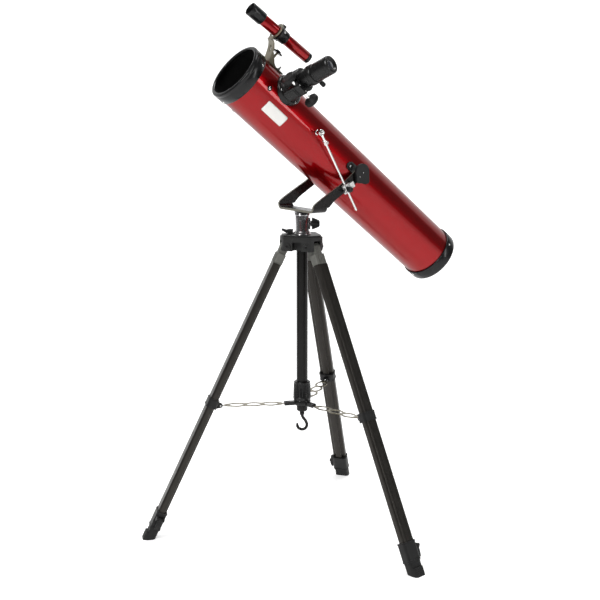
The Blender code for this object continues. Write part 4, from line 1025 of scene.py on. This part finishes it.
def make_hub():
    """The hub casting: three clevises under a rounded roof."""
    corners = []
    for azimuth in sorted(leg_azimuth(side) % (2 * pi) for side in SIDES):
        for offset in (-28, -26, -23, -18, -12, -6, 0, 6, 12, 18, 23, 26, 28):
            fall = 1.0 - 0.05 * max(0, (abs(offset) - 21) / 7) ** 2
            angle = azimuth + radians(offset)
            corners.append((HUB_RADIUS * fall * cos(angle), HUB_RADIUS * fall * sin(angle)))
    def scaled(k):
        return [(k * x, k * y) for x, y in corners]
    body = prism(scaled(1.0), HUB_BOTTOM, HUB_TOP - 3.5)
    plate = prism(scaled(0.93), HUB_TOP - 5, HUB_TOP)
    lip = turned([(0, HUB_TOP - 3), (24, HUB_TOP - 3), (24, HUB_TOP + 0.0), (23, HUB_TOP + 0.0),
                  (0, HUB_TOP)], 64)
    seat = joint_place("column_lock_turn") - AXIS
    lock_turn = atan2(seat.y, seat.x)
    seat_radius = Vector((seat.x, seat.y)).length / MM
    boss = moved(prism(rounded(5.5, 5.3, 2.2), 20, seat_radius - GAP), (0, 0, 650.5),
                 columns((0, 1, 0), (0, 0, 1), (1, 0, 0)))
    boss = moved(boss, turn=rotation("Z", lock_turn))
    shape = join(body, plate, lip, boss)
    slots = []
    for side in SIDES:
        slot = block((26.5, -9.0, HUB_BOTTOM - 5), (60, 9.0, HUB_TOP - 11))
        slots.append(moved(slot, turn=rotation("Z", leg_azimuth(side))))
    bore = cylinder(12.3, HUB_BOTTOM - 5, HUB_TOP + 10, 64)
    foot = cylinder(20.0, HUB_TOP, HUB_TOP + 12, 64)
    axis = joint_axis("column_lock_turn")
    thread = join(cylinder(2.8, -9, 5, 24), cylinder(4.3, 0, 20, 32))
    centre = (joint_place("column_lock_turn") - AXIS) / MM
    thread = moved(thread, centre, facing(axis))
    # hollows under the roof between the clevises lighten the casting
    hollows = []
    for side in SIDES:
        pocket = prism(rounded(9, 11, 4), HUB_BOTTOM - 5, HUB_TOP - 14)
        hollows.append(moved(moved(pocket, (30, 0, 0)), turn=rotation("Z", leg_azimuth(side) + radians(60))))
    shape = cut(shape, *slots, bore, foot, thread, *hollows)
    piece("hub_shell", shape, "hub", "stand", STAND, ["hub_casting"], bevel=0.9, segments=3,
          angle=38)
    places = []
    for side in SIDES:
        a = leg_azimuth(side)
        radial = Vector((cos(a), sin(a), 0))
        for way in (-1, 1):
            out = Vector((-way * sin(a), way * cos(a), 0))
            flank = ((HUB_RADIUS * 0.95) ** 2 - PIVOT_RADIUS ** 2) ** 0.5
            place = radial * PIVOT_RADIUS + out * flank + UP * PIVOT_HEIGHT
            places.append(shifted(STAND, tuple(place), facing(out + radial * 0.9)))
    bosses = [moved(turned([(0, -5), (7.2, -5), (7.2, -0.4), (6.4, 0.2), (0, 0.2)], 40), turn=p)
              for p in places]
    piece("leg_pivot_bosses", merged(*bosses), "hub", "stand", Matrix(), bevel=0.3)
    screws("leg_pivot_screws", [shifted(p, (0, 0, 0.2)) for p in places], 3.4, 1.3, "gloss", "stand")


# --- the legs ---

LEG_WIDTH, LEG_DEPTH, LEG_WALL = 31.0, 19.0, 1.6
LEG_BOTTOM, LEG_TOP = 50.0, 649.5
COLLAR_LOW, COLLAR_HIGH = 25.5, 65.0
CLAMP_HEIGHT = 19.0
CLAMP_MIDDLE = 323.67
LEG_PIVOT_S = 689.45


def leg_section(inset=0.0, fine=6):
    half, depth = LEG_WIDTH / 2 - inset, LEG_DEPTH / 2 - inset
    shoulder, ridge, edge = 4.5 - inset, 7.5 - inset, 5.0
    outline = arc((-half + edge, -depth + edge), edge, 180, 270, fine)
    outline += arc((half - edge, -depth + edge), edge, 270, 360, fine)
    outline += arc((half - 2, shoulder - 2), 2.0, 0, 80, 3)
    outline += [(ridge + 0.6, shoulder + 0.5), (ridge, shoulder + 1.1)]
    outline += arc((ridge - 1.5, depth - 1.5), 1.5, 0, 90, 3)
    outline += arc((-ridge + 1.5, depth - 1.5), 1.5, 90, 180, 3)
    outline += [(-ridge, shoulder + 1.1), (-ridge - 0.6, shoulder + 0.5)]
    outline += arc((-half + 2, shoulder - 2), 2.0, 100, 180, 3)
    return outline


def collar_outline(wall, radius=6.0):
    return rounded(LEG_WIDTH / 2 + wall, LEG_DEPTH / 2 + wall, radius, 8)


def make_leg(side):
    at = leg_frame(side)
    body, paint = f"leg_{side}", leg_paint(side)
    hollow = prism(leg_section(LEG_WALL), LEG_BOTTOM - 5, LEG_TOP - 3)
    grooves = [block((x - 0.35, -LEG_DEPTH / 2 - 1, LEG_BOTTOM - 9),
                     (x + 0.35, -LEG_DEPTH / 2 + 0.35, LEG_TOP + 9))
               for x in (-6.0, 6.0)]
    shape = cut(prism(leg_section(), LEG_BOTTOM, LEG_TOP), hollow, *grooves)
    piece(f"leg_profile_{side}", shape, paint, body, at, [f"upper_leg_{side}"], angle=30)

    casting = prism(rounded(14.0, 9.0, 3.5, 5), LEG_TOP + GAP, LEG_TOP + 22)
    rib_bars = [block((x - 1.15, -10.2, LEG_TOP + 0.8), (x + 1.15, -8, LEG_TOP + 21.4))
                for x in (-9, -3, 3, 9)]
    rib_bars += [block((x - 1.0, 8, LEG_TOP + 0.8), (x + 1.0, 10.0, LEG_TOP + 21.4)) for x in (-7, 0, 7)]
    tongue = [(-8.0, LEG_TOP + 14), (8.0, LEG_TOP + 14)] + arc((0, LEG_PIVOT_S), 8.5, 0, 180, 24)
    tongue = moved(prism(tongue, -8.2, 8.2), turn=columns((0, 1, 0), (0, 0, 1), (1, 0, 0)))
    flutes = [block((x - 1.0, -20, LEG_TOP + 23.5), (x + 1.0, -7.4, LEG_PIVOT_S + 2))
              for x in (-4.2, 0, 4.2)]
    pin = moved(cylinder(2.6, -8.9, 8.9, 24), turn=facing((1, 0, 0)))
    pin = moved(pin, (0, 0, LEG_PIVOT_S))
    shape = join(cut(join(casting, tongue, *rib_bars), *flutes), pin)
    piece(f"leg_head_{side}", shape, "casting", body, at, [f"leg_top_{side}"], bevel=0.45,
          segments=2,
          angle=38)

    hinge = joint_place(f"leg_hinge_{side}")
    local = at.inverted() @ hinge
    low, high = CLAMP_MIDDLE - CLAMP_HEIGHT / 2, CLAMP_MIDDLE + CLAMP_HEIGHT / 2
    lug = [(14, high - 8), (8, high - 8), (8, low + 1),
           (14, low + 1)] + arc((local.y, local.z), 4.5, -60, 120, 16)
    lug = moved(prism(lug, -5.0, 5.0), turn=columns((0, 1, 0), (0, 0, 1), (1, 0, 0)))
    ring = join(prism(collar_outline(1.7), low, high), prism(collar_outline(2.3, 6.4), low, low + 2.4),
                prism(collar_outline(2.3, 6.4), high - 2.4, high))
    hole = prism(leg_section(-GAP), low - 5, high + 5)
    slot = block((-2.2, local.y - 6.5, local.z - 12), (2.2, local.y + 12, local.z + 12))
    pin = moved(cylinder(1.5, -5.6, 5.6, 24), turn=facing((1, 0, 0)))
    pin = moved(pin, tuple(local))
    shape = cut(join(ring, lug), hole, slot)
    piece(f"leg_clamp_ring_{side}", shape, "satin", body, at, [f"leg_clamp_{side}"],
          bevel=0.5, segments=3,
          angle=38)
    piece(f"leg_clamp_pin_{side}", pin, "steel", body, at, bevel=0.2)

    shell = prism(collar_outline(1.8), COLLAR_LOW, COLLAR_HIGH)
    band = prism(collar_outline(2.5, 6.6), COLLAR_LOW, COLLAR_LOW + 3.2)
    crown = prism(collar_outline(2.4, 6.6), COLLAR_HIGH - 3, COLLAR_HIGH)
    pad = block((14, -4.6, COLLAR_LOW + 2), (19.2, 4.6, LEVER_S - 5))
    ears = []
    for y0 in (-9, 5):
        outline = [(15, LEVER_S - 7), (22, LEVER_S - 6.2)] + arc((LEVER_X, LEVER_S), 3.6, -60, 100, 10)
        outline += [(15, LEVER_S + 6)]
        ears.append(moved(prism(outline, -y0 - 4, -y0), turn=columns((1, 0, 0), (0, 0, 1), (0, -1, 0))))
    inside = prism(leg_section(-GAP), LEG_BOTTOM - GAP, COLLAR_HIGH + 5)
    passage = prism(leg_section(LEG_WALL), COLLAR_LOW - 5, LEG_BOTTOM + 5)
    shape = cut(join(shell, band, crown, pad, *ears), inside, passage)
    piece(f"lock_collar_shell_{side}", shape, "satin", body, at, [f"lock_collar_{side}"],
          bevel=0.6,
          segments=3, angle=38)

    lever_at = shifted(at, (LEVER_X, 0, LEVER_S))
    grip = arc((0, 0), 2.9, 0, 180, 16) + [(-2.9, -8), (-2.4, -16), (-1.8, -23), (-1.0, -24), (1.0, -24),
                                           (1.9, -23),
                                          (3.0, -18), (3.9, -12), (3.6, -7), (2.9, -3)]
    shape = moved(prism(grip, -4.5, 4.5), turn=columns((1, 0, 0), (0, 0, 1), (0, -1, 0)))
    piece(f"lock_lever_arm_{side}", shape, "satin", f"lever_{side}", lever_at,
          [f"lock_lever_{side}"],
          bevel=0.5, segments=3, angle=38)

    lower = f"lower_leg_{side}"
    rod = cut(prism(leg_section(LEG_WALL + GAP), 8, 380), prism(leg_section(2 * LEG_WALL), 24, 400))
    piece(f"lower_profile_{side}", rod, paint, lower, at, [f"lower_leg_{side}"], angle=30)
    lean = at.to_3x3().normalized().inverted()
    down = lean @ UP
    floor = moved(block((-60, -60, -120), (60, 60, 0)), turn=facing(down))
    top = COLLAR_LOW - GAP
    shoe = prism(collar_outline(0.6), -14, top)
    toe = moved(prism(rounded(14.5, 11.5, 6.0, 8), -14, 12), (0, -2.5, 0))
    tread = [block((-17, -30, 4.0 * k - 1.0), (17, -13.3, 4.0 * k + 0.4)) for k in range(3)]
    socket = prism(leg_section(LEG_WALL - 0.1), 7.6, 80)
    brim = prism(collar_outline(1.2, 6.4), top - 2.6, top)
    shape = cut(join(shoe, toe, brim), socket, floor, *tread)
    piece(f"foot_shoe_{side}", shape, "rubber", lower, at, [f"foot_{side}"], bevel=0.8,
          segments=3, angle=38)


def make_strut(side):
    """A stamped link: dished strip with three oval holes whose rims are drawn up."""
    hinge, outer = joint_place(f"strut_hinge_{side}"), joint_place(f"leg_hinge_{side}")
    run = outer - hinge
    length = run.length / MM
    across = joint_axis(f"strut_hinge_{side}")
    at = basis(hinge, run, run.cross(across) * -1)
    lobes, steps, end, tongue = 3, 60, 16.0, 2.0
    neck, belly = 9.0, 13.5
    pitch = (length - 2 * end) / lobes
    edge = []
    for k in range(steps + 1):
        wave = (1 - cos(2 * pi * lobes * k / steps)) / 2
        edge.append((end + lobes * pitch * k / steps, neck - 0.6 + (belly - neck) * wave))
    shoulder = [(6.5, tongue), (9.0, 2.6), (12.0, 5.6), (14.0, 7.8)]
    half = [(-4, tongue)] + shoulder + edge + [(length - x, y) for x,
                                               y in reversed(shoulder)] + [(length + 4, tongue)]
    plate = prism(half + [(x, -y) for x, y in reversed(half)], -0.7, 0.7)
    holes, rims = [], []
    for k in range(lobes):
        middle = end + pitch * (k + 0.5)
        turn = [2 * pi * n / 56 for n in range(56)]
        holes.append(prism([(middle + 15.6 * cos(a), 9.1 * sin(a)) for a in turn], -5, 5))
        rims.append(closed_bar([(middle + 16.2 * cos(a), 9.7 * sin(a), 0.1) for a in turn], 0.9, 8))
    rims += [bar([(x, way * y, 0.1) for x,
                  y in shoulder[1:] + edge + [(length - x, y) for x, y in reversed(shoulder[1:])]],
                 0.85, 8) for way in (-1, 1)]
    shape = join(cut(plate, *holes), *rims)
    piece(f"strut_link_{side}", shape, "olive", f"strut_{side}", at, [f"strut_{side}"],
          bevel=0.15, angle=50)
    pin = moved(cylinder(1.4, -4.2, 4.2, 20), turn=facing((0, 1, 0)))
    piece(f"strut_pin_{side}", pin, "steel", "spreader", at, bevel=0.2)


def closed_bar(path, radius, sides=8):
    """A round bar round a closed loop in a plane of constant Z."""
    path = [Vector(p) for p in path]
    count = len(path)
    points, faces = [], []
    for k, p in enumerate(path):
        ahead = (path[(k + 1) % count] - path[k - 1]).normalized()
        other = ahead.cross(UP)
        points += [p + radius * (cos(2 * pi * s / sides) * other + sin(2 * pi * s / sides) * UP)
                   for s in range(sides)]
    for k in range(count):
        for s in range(sides):
            a, b = k * sides + s, k * sides + (s + 1) % sides
            c, d = ((k + 1) % count) * sides + (s + 1) % sides, ((k + 1) % count) * sides + s
            faces.append([a, b, c, d])
    return solid(points, faces)


def make_spreader():
    low, high = 276.0, 287.0
    ring = turned([(0, low), (16.8, low), (18.0, low + 0.8), (18.5, low + 2), (18.5, high - 1.6),
                   (17.6, high), (0, high)], 64)
    lugs = []
    for side in SIDES:
        lug = block((12, -5, low), (39, 5, low + 8))
        gap = block((27.5, -2.4, low - 5), (60, 2.4, high + 5))
        lugs.append(moved(cut(lug, gap), turn=rotation("Z", leg_azimuth(side))))
    bore = cylinder(12.3, low - 5, high + 5, 64)
    piece("brace_ring", cut(join(ring, *lugs), bore), "gloss", "spreader", STAND,
          ["brace_hub"], bevel=0.6,
          segments=3, angle=40)

    low, high = 287.3, 328.0
    profile = [(12.3, low), (17.8, low), (18.6, low + 0.8), (19.2, low + 3.4), (19.2, low + 6.2),
               (18.7, low + 6.8),
               (18.4, low + 7.4), (17.2, high - 5.2), (17.6, high - 4.6), (17.6, high - 1.6),
               (16.6, high - 0.3), (15.6, high),
               (13.0, high), (12.3, high - 0.7)]
    core = turned(profile, 96)
    bars = []
    for k in range(18):
        a = 2 * pi * k / 18
        bar_shape = prism([(16.2, -1.5), (19.0, -1.0), (19.0, 1.0), (16.2, 1.5)], low + 7.6, high - 5.6)
        lean = rotation("Y", radians(-2.2))
        bar_shape = moved(moved(bar_shape, (0, 0, -low - 7.6)), (0, 0, low + 7.6), lean)
        bars.append(moved(bar_shape, turn=rotation("Z", a)))
    piece("brace_lock_sleeve", join(core, *bars), "gloss", "spreader_sleeve", STAND,
          ["spreader_lock_sleeve"], bevel=0.35, segments=2, angle=35)


def make_hook():
    bend, wire, middle = 10.5, 3.2, -31.5
    curve = [(x, 0, z) for x, z in arc((0, middle), bend, 30, -200, 20)]
    path = smoothed([(0, 0, 8), (0, 0, -3), (0, 0, -8), (0.8, 0, -12.5), (4.0, 0, -17.8),
                     (7.6, 0, -22.4)] + curve, 4)
    shape = bar(path, wire, 24, taper=lambda t: 1.0 if t < 0.86 else 1.0 - 0.42 * ((t - 0.86) / 0.14) ** 1.6)
    neck = turned([(0, -9), (4.2, -9), (5.2, -8), (5.2, -1.4), (4.4, -GAP), (0, -GAP)], 40)
    at = shifted(HEAD, (0, 0, GUIDE_BOTTOM))
    piece("ballast_hook", join(shape, neck), "enamel", "hook", at, ["weight_hook"],
          bevel=0.3, angle=45)


# --- the studio ---

HEAD_ANGLE = atan2(joint_axis("azimuth_lock_turn").y, joint_axis("azimuth_lock_turn").x)
CAMERA_BACK, CAMERA_HEIGHT = 2.1737, 0.9135
CAMERA_PITCH, CAMERA_YAW, LENS = 0.18663, 0.00207, 62.49


def make_stage():
    floor = bpy.data.meshes.new("floor")
    size, back, height, steps = 6.0, 2.6, 4.0, 24
    curve = [pi / 2 * k / steps for k in range(steps + 1)]
    bend = 1.2
    rows = [(-size, 0.0)] + [(back - bend + bend * sin(a), bend - bend * cos(a)) for a in curve]
    rows += [(back, height)]
    points = [(x, y, z) for y, z in rows for x in (-size, size)]
    faces = [[2 * k, 2 * k + 1, 2 * k + 3, 2 * k + 2] for k in range(len(rows) - 1)]
    floor.from_pydata(points, [], faces)
    floor.transform(Matrix.Translation(AXIS) @ rotation("Z", HEAD_ANGLE))
    floor.shade_smooth()
    material = shader("studio_floor", (0.80, 0.80, 0.80), 0.8, tint=0.01, tint_scale=2.0, bump=0.0,
                      specular=0.1)
    surface = material.node_tree.nodes["Principled BSDF"]
    surface.inputs["Emission Color"].default_value = (1, 1, 1, 1)
    surface.inputs["Emission Strength"].default_value = 0.52
    floor.materials.append(material)
    obj = bpy.data.objects.new("floor", floor)
    bpy.context.collection.objects.link(obj)


def make_camera():
    data = bpy.data.cameras.new("camera")
    data.lens, data.sensor_width = LENS, 36.0
    obj = bpy.data.objects.new("camera", data)
    bpy.context.collection.objects.link(obj)
    place = rotation("Z", HEAD_ANGLE) @ Vector((0, -CAMERA_BACK, CAMERA_HEIGHT))
    obj.location = AXIS + place
    obj.rotation_euler = (pi / 2 - CAMERA_PITCH, 0, HEAD_ANGLE + CAMERA_YAW)
    data.shift_y = 0.85 / 600
    bpy.context.scene.camera = obj


def area(name, place, target, size, power, colour=(1, 1, 1)):
    data = bpy.data.lights.new(name, "AREA")
    data.shape = "RECTANGLE"
    data.size, data.size_y = size
    data.energy = power
    data.color = colour
    obj = bpy.data.objects.new(name, data)
    bpy.context.collection.objects.link(obj)
    turn = rotation("Z", HEAD_ANGLE)
    obj.location = AXIS + turn @ Vector(place)
    aim = AXIS + turn @ Vector(target) - obj.location
    obj.rotation_euler = aim.to_track_quat("-Z", "Y").to_euler()


def make_lights():
    world = bpy.data.worlds.new("studio")
    bpy.context.scene.world = world
    world.use_nodes = True
    world.node_tree.nodes["Background"].inputs["Color"].default_value = (1, 1, 1, 1)
    world.node_tree.nodes["Background"].inputs["Strength"].default_value = 0.16
    area("key", (-1.5, -1.9, 2.7), (0.1, 0, 0.8), (0.7, 1.4), 66)
    area("fill", (2.4, -1.4, 1.4), (0.1, 0, 0.6), (0.4, 1.8), 16)
    area("top", (0.3, 0.5, 3.0), (0.1, 0, 0.7), (1.6, 1.2), 46)
    bpy.context.scene.view_settings.view_transform = "Standard"


# --- everything ---

make_camera()
make_stage()
make_lights()
make_tube()
make_optics()
make_label()
make_focuser()
make_eyepiece()
make_finder()
make_bracket()
make_altitude()
make_rod()
make_yoke()
make_column()
make_screws()
make_hub()
for leg_side in SIDES:
    make_leg(leg_side)
    make_strut(leg_side)
make_spreader()
make_hook()
